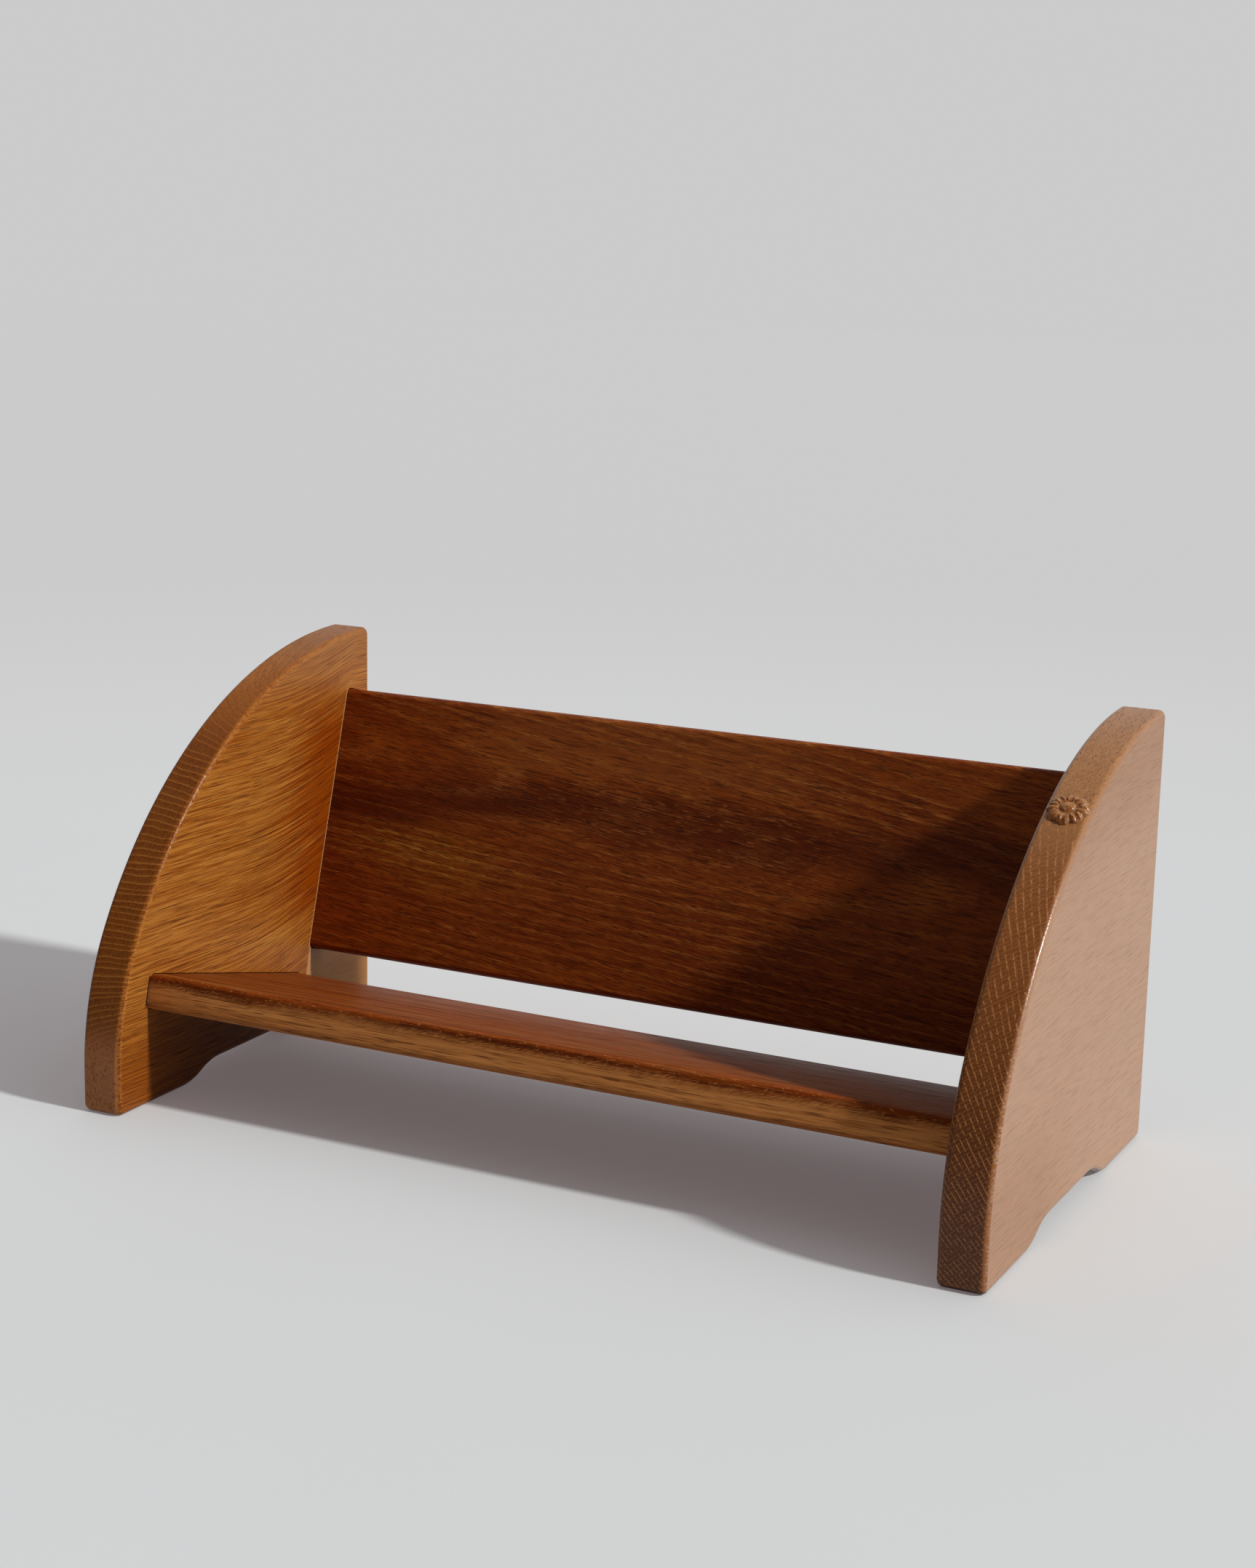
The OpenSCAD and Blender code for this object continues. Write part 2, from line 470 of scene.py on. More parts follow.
@dataclass(frozen=True)
class Growth:
    """How a board lay in the tree, with lengths in millimetres.

    Attributes:
        along: Direction of the grain in the object's frame.
        outward: Direction from the pith to the bark at the board.
        pith: A point on the pith.
        ring: Width of a year's ring.
        wander: How far the rings stray from true circles.
        bow: Tilt of the rings at one span from the level radius.
        level: Radius at which bowed rings have no tilt.
        span: Distance over which the tilt grows to the bow.
        curl: Rise of the grain up to the back board.
        curl_run: Distance over which it rises.
        uneven: How many years the rings crowd or spread by.
        uneven_pace: How often they do so for each year.
    """

    along: Point
    outward: Point
    pith: Point
    ring: float
    wander: float
    bow: float = 0.0
    level: float = 0.0
    span: float = 75.0
    curl: float = 0.0
    curl_run: float = 60.0
    uneven: float = 1.4
    uneven_pace: float = 0.6

    def turn(self) -> Matrix:
        """The turn from the object's frame to grain, tangent and radius."""
        along = Vector(self.along).normalized()
        outward = Vector(self.outward)
        outward = (outward - along * outward.dot(along)).normalized()
        return Matrix((along, outward.cross(along), outward))

    def place(self, bench: NodeBench, metres: Socket) -> Socket:
        """Turns a point of the object into millimetres along grain, tangent and radius.

        Args:
            bench: The bench that gets the nodes.
            metres: The point in the object's frame.

        Returns:
            The point seen from the pith.
        """
        turn = self.turn()
        made = bench.node("ShaderNodeMapping", vector_type="POINT")
        bench.fill(made.inputs["Vector"], self.curled(bench, metres) if self.curl else metres)
        made.inputs["Scale"].default_value = (1 / MM,) * 3
        made.inputs["Rotation"].default_value = turn.to_euler("XYZ")
        made.inputs["Location"].default_value = -(turn @ Vector(self.pith))
        return made.outputs["Vector"]

    def curled(self, bench: NodeBench, metres: Socket) -> Socket:
        """Lowers the points near the back board, so that the grain rises toward it.

        Args:
            bench: The bench that gets the nodes.
            metres: The point in the object's frame.

        Returns:
            The lowered point.
        """
        ahead = BACK_FACE.distance(bench, metres)
        near = bench.math("MULTIPLY_ADD", ahead, -1 / self.curl_run, 1.0, clamp=True)
        drop = bench.product(near, near, self.curl * MM)
        return bench.vector("SUBTRACT", metres, bench.joined(0.0, 0.0, drop)).outputs["Vector"]

    def years(self, bench: NodeBench, place: Socket) -> Socket:
        """Counts the years from the pith to a point.

        Args:
            bench: The bench that gets the nodes.
            place: The point seen from the pith.

        Returns:
            The years, with a fraction that runs from spring to spring.
        """
        _, tangent, radius = bench.parts(place)
        away = bench.math("DIVIDE", bench.math("SUBTRACT", radius, self.level), self.span)
        tilt = bench.product(away, away, away, self.bow)
        distance = bench.length(bench.joined(0.0, tangent, radius))
        distance = bench.frayed(distance, RING_STRAY.read(bench, place), 2 * self.wander)
        distance = bench.plus(distance, tilt, tangent)
        years = bench.math("DIVIDE", distance, self.ring)
        pace = bench.product(years, self.uneven_pace)
        return bench.plus(years, bench.noise(bench.joined(pace, 0.0, 0.0), 1.0), self.uneven)


@dataclass
class Grain:
    """What a finish reads at one point of a board.

    Attributes:
        bench: The bench that gets the nodes.
        metres: The point in the object's frame.
        normal: The surface's direction there.
        place: The point in millimetres along grain, tangent and radius.
        season: Part of the year's ring, from 0 to 1.
        early: 1 in the porous wood of spring, 0 in the dense wood of summer.
        fibre: Fine streaks along the grain, about 0.5.
        streak: Long streaks along the grain, about 0.5.
        patch: Broad changes of tone, about 0.5.
        pore: 1 in an open vessel.
        fleck: 1 in a pale fleck along the grain.
        end: 1 where the grain ends at the surface.
        arris: 1 on a rounded arris beside a broad face.
        known: Distances that are already measured, by plane.
    """

    bench: NodeBench
    metres: Socket
    normal: Socket
    place: Socket
    season: Socket
    early: Socket
    fibre: Socket
    streak: Socket
    patch: Socket
    pore: Socket
    fleck: Socket
    end: Socket
    arris: Socket
    known: dict[Plane, Socket] = field(default_factory=dict)

    @cached_property
    def facing(self) -> tuple[Socket, Socket, Socket]:
        """The three parts of the surface's direction."""
        return self.bench.parts(self.normal)

    def above(self, plane: Plane) -> Socket:
        """The distance from a plane in millimetres, measured once for each plane."""
        if plane not in self.known:
            self.known[plane] = plane.distance(self.bench, self.metres)
        return self.known[plane]

    def cloud(self, cloud: Cloud) -> Socket:
        """Reads a noise at the point in the object's frame."""
        return cloud.read(self.bench, self.metres)


@dataclass(frozen=True)
class EndGrain:
    """How a board looks where its grain ends at the surface.

    Attributes:
        body: Colour between the lines.
        line: Colour of the thin line that each ring draws.
        ray: Colour of the rays that cross the rings.
        line_share: How strongly the lines show.
        ray_share: How strongly the rays show.
        ray_gap: Distance from ray to ray, in millimetres.
        ray_width: Half of a ray's width, as a share of the gap.
        ray_core: Share of that width in which a ray is full.
        ray_piece: Length of the pieces that a ray is broken into, in millimetres.
        ray_breaks: Ramp of the noise that breaks it.
        ray_stray: How far a ray strays, in gaps.
        ray_fade: How much weaker it is in the wood of spring.
        reach: Distance from the pith at which the gap holds, in millimetres.
    """

    body: Colour
    line: Colour
    ray: Colour
    line_share: float = 0.7
    ray_share: float = 0.4
    ray_gap: float = 1.2
    ray_width: float = 0.3
    ray_core: float = 0.35
    ray_piece: float = 6.0
    ray_breaks: Ramp = (0.41, 0.56)
    ray_stray: float = 0.9
    ray_fade: float = 0.7
    reach: float = 120.0

    def rays(self, grain: Grain) -> Socket:
        """Draws the rays as lines that fan out from the pith and that each ring breaks.

        Args:
            grain: The wood's pattern.

        Returns:
            1 in a ray, 0 beside it.
        """
        bench = grain.bench
        along, tangent, radius = bench.parts(grain.place)
        across = bench.product(bench.math("ARCTAN2", tangent, radius), self.reach / self.ray_gap)
        across = bench.plus(across, RAY_STRAY.read(bench, grain.place), self.ray_stray)
        off = bench.apart(bench.math("FRACT", across), 0.5)
        sheet = bench.joined(along, across, bench.math("DIVIDE", radius, self.ray_piece))
        line = bench.within(
            (off, (self.ray_width, self.ray_core * self.ray_width)),
            (RAY_BREAKS.read(bench, sheet), self.ray_breaks))
        return bench.product(line, bench.plus(1.0, grain.early, -self.ray_fade))


@dataclass(frozen=True)
class OakFinish:
    """Waxed oak with rings, vessels and rays that run through the whole board.

    Attributes:
        name: The material's name.
        growth: How the board lay in the tree.
        summer: Colour of the dense wood on a face.
        spring: Colour of the porous wood on a face.
        patchy: Colour that the broad patches lean to.
        vessel: Colour in the open vessels.
        fleck: Colour of the pale flecks.
        ends: How the end grain looks.
        shade: What the dark streaks multiply the colour by.
        ring_share: How strongly the rings show on a face.
        pore_share: How strongly the vessels show.
        fleck_share: How strongly the flecks show.
        patch_share: How strongly the patches show.
        gloss: Roughness of the waxed surface.
        polish: How much smoother its arrises are.
        shine: Strength of its reflections, where 0.5 is common.
        relief: Depth of the open grain, in millimetres.
        planing: Depth of the unevenness left by hand planing, in millimetres.
        planed: Pattern of that unevenness.
        fine: Fineness of the grain, where 1 is common.
        broad: Direction that the broad faces look in.
        teeth: Pattern of the worn teeth along an arris.
        worn_way: Direction that the worn arris looks in.
        worn_full: Share of its height below which the wear is full.
    """

    name: str
    growth: Growth
    summer: Colour
    spring: Colour
    patchy: Colour
    vessel: Colour
    fleck: Colour
    ends: EndGrain
    shade: Colour = (0.7, 0.62, 0.54)
    ring_share: float = 0.4
    pore_share: float = 0.7
    fleck_share: float = 0.3
    patch_share: float = 0.7
    gloss: float = 0.4
    polish: float = 0.14
    shine: float = 0.2
    relief: float = 0.2
    planing: float = 0.8
    planed: Cloud = Cloud((45.0, 45.0, 45.0), 1.0)
    fine: float = 1.0
    broad: Point = (1, 0, 0)
    teeth: Cloud = Cloud((500.0, 500.0, 1300.0))
    worn_way: Point = (0.77, -0.64, 0.0)
    worn_full: float = 0.4

    def grain(self, bench: NodeBench) -> Grain:
        """Lays out the wood's pattern.

        Args:
            bench: The bench that gets the nodes.

        Returns:
            What there is to read at each point.
        """
        source = bench.node("ShaderNodeTexCoord")
        metres = source.outputs["Object"]
        normal = source.outputs["Normal"]
        place = self.growth.place(bench, metres)
        season = bench.math("FRACT", self.growth.years(bench, place))
        early = bench.profile(season, SPRING)
        patch = PATCHES.read(bench, place)
        vessels = bench.plus(VESSELS.read(bench, place, self.fine), early, EARLY_PORES)
        pale = bench.plus(FLECKS.read(bench, place, self.fine), patch, PATCHY_FLECKS)
        pale = bench.plus(pale, early, EARLY_FLECKS)
        ending = bench.math("ABSOLUTE", bench.dot(normal, tuple(self.growth.turn()[0])))
        facing = bench.math("ABSOLUTE", bench.dot(normal, self.broad))
        return Grain(
            bench=bench, metres=metres, normal=normal, place=place, season=season, early=early,
            fibre=FIBRE.read(bench, place, self.fine), streak=STREAK.read(bench, place, self.fine),
            patch=patch, pore=bench.step(vessels, PORE_RAMP), fleck=bench.step(pale, FLECK_RAMP),
            end=bench.step(ending, END_RAMP),
            arris=bench.within(*((facing, ramp) for ramp in ARRIS_RAMPS)))

    def fringe(self, grain: Grain, top: float) -> Socket:
        """Finds the worn teeth along the arris that looks right and forward.

        Args:
            grain: The wood's pattern.
            top: Height in millimetres at which the teeth end.

        Returns:
            1 in a tooth.
        """
        outward = grain.bench.dot(grain.normal, self.worn_way)
        return grain.bench.within(
            (outward, WORN_RAMP), (grain.cloud(self.teeth), TEETH_RAMP),
            (grain.above(FLOOR), (top, self.worn_full * top)))

    def face_colour(self, grain: Grain) -> Socket:
        """Colours the wood along its grain.

        Args:
            grain: The wood's pattern.

        Returns:
            The colour at each point.
        """
        bench = grain.bench
        patches = bench.within((grain.patch, PATCH_RAMP), share=self.patch_share)
        made = bench.mix(patches, self.summer, self.patchy)
        made = bench.mix(bench.product(grain.early, self.ring_share), made, self.spring)
        made = bench.spared(bench.step(grain.streak, STREAK_RAMP), made, self.shade)
        made = bench.spared(bench.step(grain.fibre, FIBRE_RAMP), made, self.shade)
        made = bench.mix(bench.product(grain.fleck, self.fleck_share), made, self.fleck)
        return bench.mix(bench.product(grain.pore, self.pore_share), made, self.vessel)

    def end_colour(self, grain: Grain) -> Socket:
        """Colours the wood across its grain.

        Args:
            grain: The wood's pattern.

        Returns:
            The colour at each point.
        """
        bench = grain.bench
        ends = self.ends
        speck = END_SPECKS.read(bench, grain.place)
        rings = bench.profile(grain.season, RING_LINE)
        thin = bench.within(rings, (speck, RING_SPECK_RAMP), share=ends.line_share)
        made = bench.spared(bench.step(speck, BODY_SPECK_RAMP), ends.body, self.shade)
        made = bench.mix(bench.product(ends.rays(grain), ends.ray_share), made, ends.ray)
        return bench.mix(thin, made, ends.line)

    def zones(self, grain: Grain, colour: Socket) -> Socket:
        """Colours that belong to one place of a board; plain oak has none."""
        return colour

    def roughness(self, grain: Grain) -> Socket:
        """Roughens the wax over open vessels and streaks, and smooths it on the arrises."""
        bench = grain.bench
        made = self.gloss - WAX_SPREAD
        for pattern, share in ROUGHER.items():
            made = bench.plus(made, getattr(grain, pattern), share)
        return bench.math("MULTIPLY_ADD", grain.arris, -self.polish, made, clamp=True)

    def normal(self, grain: Grain) -> Socket:
        """Bumps the surface by the plane's unevenness and the open vessels."""
        bench = grain.bench
        planed = bench.bump(grain.cloud(self.planed), self.planing * MM, BUMP_STRENGTH)
        hollow = bench.plus(grain.fibre, grain.pore, PORE_RELIEF)
        return bench.bump(hollow, self.relief * MM, BUMP_STRENGTH, planed)

    def material(self) -> bpy.types.Material:
        """Makes the material.

        Returns:
            The material, with colour, roughness and relief from its nodes.
        """
        made = bpy.data.materials.new(self.name)
        made.use_nodes = True
        bench = NodeBench(made.node_tree)
        grain = self.grain(bench)
        colour = bench.mix(grain.end, self.face_colour(grain), self.end_colour(grain))
        shader = bench.node("ShaderNodeBsdfPrincipled")
        shader.inputs["Specular IOR Level"].default_value = self.shine
        bench.fill(shader.inputs["Base Color"], self.zones(grain, colour))
        bench.fill(shader.inputs["Roughness"], self.roughness(grain))
        bench.fill(shader.inputs["Normal"], self.normal(grain))
        bench.surface("ShaderNodeOutputMaterial", shader.outputs["BSDF"])
        return made


@dataclass(frozen=True)
class LeftOak(OakFinish):
    """Oak with dark veins, a stain before the back board, painted bounce light behind it, a painted
    reflection on the crown, painted shade on the foot, a painted shadow in the gap before the shelf and
    worn edges.

    Attributes:
        veins: Ramp of the dark veins.
        stain: What the stain multiplies the colour by.
        stain_ahead: Its ramp of distance before the back board.
        stain_along: Its two ramps along the back board.
        stain_fray: How far streaks and patches fray it, in millimetres.
        dusty: Colour of the bounce light painted on the face behind the back board.
        dusty_share: How strongly it shows.
        dusty_along: Its ramp along the back board.
        dusty_side: Ramp of how far the surface looks inward.
        crown: Colour of the reflection painted on the top, which makes it paler.
        crown_share: How strongly it shows.
        crown_face: Its ramp of height on the inner face.
        crown_rim: Its ramp of height on the edge.
        edge: What the upper edge multiplies the colour by.
        edge_rise: Its two ramps of height.
        foot: What the painted shade on the foot's inner face, near the floor and under the shelf,
            multiplies the colour by.
        foot_fall: Its ramp of height.
        heel: Colour of the lowest end grain.
        heel_fall: Its ramp of height.
        heel_specks: Pattern of the dark specks in it.
        heel_speck: Their ramp.
        heel_share: How strongly they show.
        worn: Colour of the worn arris.
        worn_top: Height at which the wear ends.
        worn_share: How strongly it shows.
        joint: Colour of the worn line along the back board.
        joint_ahead: Its distance before the back board.
        joint_along: Its two ramps along the back board.
        joint_fibre: Ramp of the fibres that break it.
        grime: Colour of the shadow painted in the gap before the shelf.
        grime_ahead: Its distance before the shelf.
        grime_along: Its two ramps below the top of the shelf.
    """

    veins: Ramp = (0.50, 0.62)
    stain: Colour = (0.68, 0.36, 0.05)
    stain_ahead: Ramp = (61.0, 9.0)
    stain_along: tuple[Ramp, Ramp] = ((150.0, 115.0), (0.0, 30.0))
    stain_fray: tuple[float, float] = (130.0, 40.0)
    dusty: Colour = (0.66, 0.40, 0.25)
    dusty_share: float = 0.7
    dusty_along: Ramp = (50.0, 10.0)
    dusty_side: Ramp = (0.0, 0.3)
    crown: Colour = (0.27, 0.116, 0.044)
    crown_share: float = 0.6
    crown_face: Ramp = (172.0, 214.0)
    crown_rim: Ramp = (196.0, 213.0)
    edge: Colour = (0.92, 0.80, 0.62)
    edge_rise: tuple[Ramp, Ramp] = ((135.0, 175.0), (222.0, 190.0))
    foot: Colour = (0.73, 0.57, 0.30)
    foot_fall: Ramp = (62.0, 25.0)
    heel: Colour = (0.42, 0.155, 0.055)
    heel_fall: Ramp = (50.0, 22.0)
    heel_specks: Cloud = Cloud((1400.0, 1400.0, 700.0))
    heel_speck: Ramp = (0.5, 0.68)
    heel_share: float = 0.6
    worn: Colour = (0.46, 0.175, 0.04)
    worn_top: float = 170.0
    worn_share: float = 0.4
    joint: Colour = (0.44, 0.20, 0.07)
    joint_ahead: float = 0.6
    joint_along: tuple[Ramp, Ramp] = ((142.0, 138.0), (-2.0, 2.0))
    joint_fibre: Ramp = (0.25, 0.5)
    grime: Colour = (0.035, 0.01, 0.005)
    grime_ahead: float = 0.7
    grime_along: tuple[Ramp, Ramp] = ((0.0, -2.0), (-18.0, -15.0))

    def zones(self, grain: Grain, colour: Socket) -> Socket:
        """Adds the veins, the zones beside the back board and by height, the wear and the joints.

        Args:
            grain: The wood's pattern.
            colour: The plain oak.

        Returns:
            The colour with its zones.
        """
        bench = grain.bench
        inner = bench.step(grain.facing[0], INNER_RAMP)
        veins = bench.within((VEINS.read(bench, grain.place, self.fine), self.veins), inner)
        made = bench.tinted(veins, colour, self.shade)
        made = self.beside_board(grain, made, inner)
        made = self.by_height(grain, made, inner)
        worn = bench.product(self.fringe(grain, self.worn_top), self.worn_share)
        made = bench.mix(worn, made, self.worn)
        return self.joints(grain, made, inner)

    def beside_board(self, grain: Grain, colour: Socket, inner: Socket) -> Socket:
        """Adds the stain in front of the back board and the bounce light painted on the face behind it.

        Args:
            grain: The wood's pattern.
            colour: The colour so far.
            inner: 1 on the inner face.

        Returns:
            The colour with these zones.
        """
        bench = grain.bench
        ahead = grain.above(BACK_FACE)
        reach = grain.above(BACK_FOOT)
        ragged = bench.frayed(ahead, grain.streak, self.stain_fray[0])
        ragged = bench.frayed(ragged, grain.patch, self.stain_fray[1])
        along = ((reach, ramp) for ramp in self.stain_along)
        stain = bench.within((ragged, self.stain_ahead), (ahead, BEFORE_RAMP), *along, inner)
        made = bench.tinted(stain, colour, self.stain)
        # Painted bounce light: the inner face behind the back board, in the board's shadow, is paled toward
        # grey-brown.
        behind = bench.within(
            (ahead, BEHIND_RAMP), (reach, self.dusty_along), (grain.facing[0], self.dusty_side),
            share=self.dusty_share)
        return bench.mix(behind, made, self.dusty)

    def by_height(self, grain: Grain, colour: Socket, inner: Socket) -> Socket:
        """Adds the reflection painted on the crown, the darker upper edge, the shade painted on the foot,
        and the speckled heel.

        Args:
            grain: The wood's pattern.
            colour: The colour so far.
            inner: 1 on the inner face.

        Returns:
            The colour with these zones.
        """
        bench = grain.bench
        height = grain.above(FLOOR)
        rim = bench.step(bench.math("ABSOLUTE", grain.facing[0]), RIM_RAMP)
        # Painted reflection: the top of the inner face and the top of the edge are paled.
        face = bench.within((height, self.crown_face), inner)
        tip = bench.within((height, self.crown_rim), rim)
        crown_reflection = bench.product(bench.math("MAXIMUM", face, tip), self.crown_share)
        made = bench.mix(crown_reflection, colour, self.crown)
        upper = bench.within(*((height, ramp) for ramp in self.edge_rise), rim)
        made = bench.tinted(upper, made, self.edge)
        # Painted shade: the inner face near the floor and under the shelf is darkened and reddened.
        made = bench.tinted(bench.within((height, self.foot_fall), inner), made, self.foot)
        speck = bench.within((grain.cloud(self.heel_specks), self.heel_speck), share=self.heel_share)
        heel = bench.mix(speck, self.heel, self.vessel)
        return bench.mix(bench.within((height, self.heel_fall), rim), made, heel)

    def joints(self, grain: Grain, colour: Socket, inner: Socket) -> Socket:
        """Adds the worn line along the back board and the shadow painted in the gap before the shelf.

        Args:
            grain: The wood's pattern.
            colour: The colour so far.
            inner: 1 on the inner face.

        Returns:
            The colour with these lines.
        """
        bench = grain.bench
        ahead = bench.apart(grain.above(BACK_FACE), self.joint_ahead)
        along = ((grain.above(BACK_FOOT), ramp) for ramp in self.joint_along)
        line = bench.within((ahead, LINE_RAMP), *along, (grain.fibre, self.joint_fibre), inner)
        made = bench.mix(line, colour, self.joint)
        # Painted shadow: a near-black line in the gap where the shelf's front meets the inner face.
        ahead = bench.apart(grain.above(SHELF_FRONT), self.grime_ahead)
        along = ((grain.above(SHELF_TOP), ramp) for ramp in self.grime_along)
        return bench.mix(bench.within((ahead, LINE_RAMP), *along, inner), made, self.grime)


@dataclass(frozen=True)
class RightOak(OakFinish):
    """Oak whose front edge darkens toward the foot, with a painted sheen on its outer face, painted shade
    on its underside and a worn arris.

    Attributes:
        foot: What the low end grain multiplies the colour by.
        foot_fall: Its ramp of height.
        hatch: What the pale lines of the low end grain multiply the colour by.
        hatch_red: Ramp of the red in a colour that tells those lines.
        faded: Colour of the pale sheen painted on the outer face.
        fading: Least strength of the painted sheen, and what the clouds add.
        fading_side: Ramp of how far the surface looks outward.
        clouds: Pattern of the painted sheen.
        flushed: Colour of the warmer patches in the painted sheen.
        flush_low: Ramp of height of the lower patch.
        flush_front: Its ramp of depth, in metres.
        flush_share: How strongly it shows.
        flush_high: Ramp of height of the upper patch.
        flush_fray: How much the clouds add to the patches or take away.
        line_ramp: Ramp of the fine dark lines of the outer face.
        line_share: How strongly they show.
        under: What the painted shade on the underside multiplies the colour by.
        under_ramp: Ramp of how far the surface looks up.
        worn: Colour of the worn arris.
        worn_top: Height at which the wear ends.
    """

    foot: Colour = (0.50, 0.44, 0.42)
    foot_fall: Ramp = (165.0, 40.0)
    hatch: Colour = (1.0, 0.94, 0.98)
    hatch_red: Ramp = (0.24, 0.38)
    faded: Colour = (0.405, 0.235, 0.148)
    fading: tuple[float, float] = (0.62, 0.3)
    fading_side: Ramp = (0.35, 0.85)
    clouds: Cloud = Cloud((12.0, 12.0, 18.0))
    flushed: Colour = (0.325, 0.167, 0.090)
    flush_low: Ramp = (90.0, 30.0)
    flush_front: Ramp = (0.03, -0.05)
    flush_share: float = 0.6
    flush_high: Ramp = (140.0, 195.0)
    flush_fray: float = 1.2
    line_ramp: Ramp = (0.5, 0.3)
    line_share: float = 0.7
    under: Colour = (0.25, 0.15, 0.10)
    under_ramp: Ramp = (-0.3, -0.7)
    worn: Colour = (0.24, 0.082, 0.017)
    worn_top: float = 150.0

    def zones(self, grain: Grain, colour: Socket) -> Socket:
        """Adds the darker foot, the painted sheen on the outer face, the painted shade on the underside and
        the worn arris.

        Args:
            grain: The wood's pattern.
            colour: The plain oak.

        Returns:
            The colour with its zones.
        """
        bench = grain.bench
        low = bench.within((grain.above(FLOOR), self.foot_fall), grain.end)
        pale = bench.step(bench.parts(colour)[0], self.hatch_red)
        made = bench.tinted(low, colour, bench.mix(pale, self.foot, self.hatch))
        made = self.outer_face(grain, made)
        # Painted shade: surfaces that look down are darkened.
        made = bench.tinted(bench.step(grain.facing[2], self.under_ramp), made, self.under)
        return bench.mix(self.fringe(grain, self.worn_top), made, self.worn)

    def outer_face(self, grain: Grain, colour: Socket) -> Socket:
        """Paints a pale sheen over the outer face in clouds, with warmer patches and fine dark lines.

        Args:
            grain: The wood's pattern.
            colour: The colour so far.

        Returns:
            The colour with the faded face.
        """
        bench = grain.bench
        height = grain.above(FLOOR)
        cloud = grain.cloud(self.clouds)
        depth = bench.parts(grain.metres)[1]
        warm = bench.within((height, self.flush_low), (depth, self.flush_front), share=self.flush_share)
        warm = bench.math("MAXIMUM", warm, bench.step(height, self.flush_high))
        # Painted sheen: the outer face is paled in clouds, and is warmer in patches low at the front and at
        # the top.
        tone = bench.mix(bench.frayed(warm, cloud, self.flush_fray), self.faded, self.flushed)
        least, more = self.fading
        outer = bench.within((grain.facing[0], self.fading_side), bench.plus(least, cloud, more))
        made = bench.mix(outer, colour, tone)
        lines = bench.within(outer, (grain.fibre, self.line_ramp), share=self.line_share)
        return bench.tinted(lines, made, self.shade)


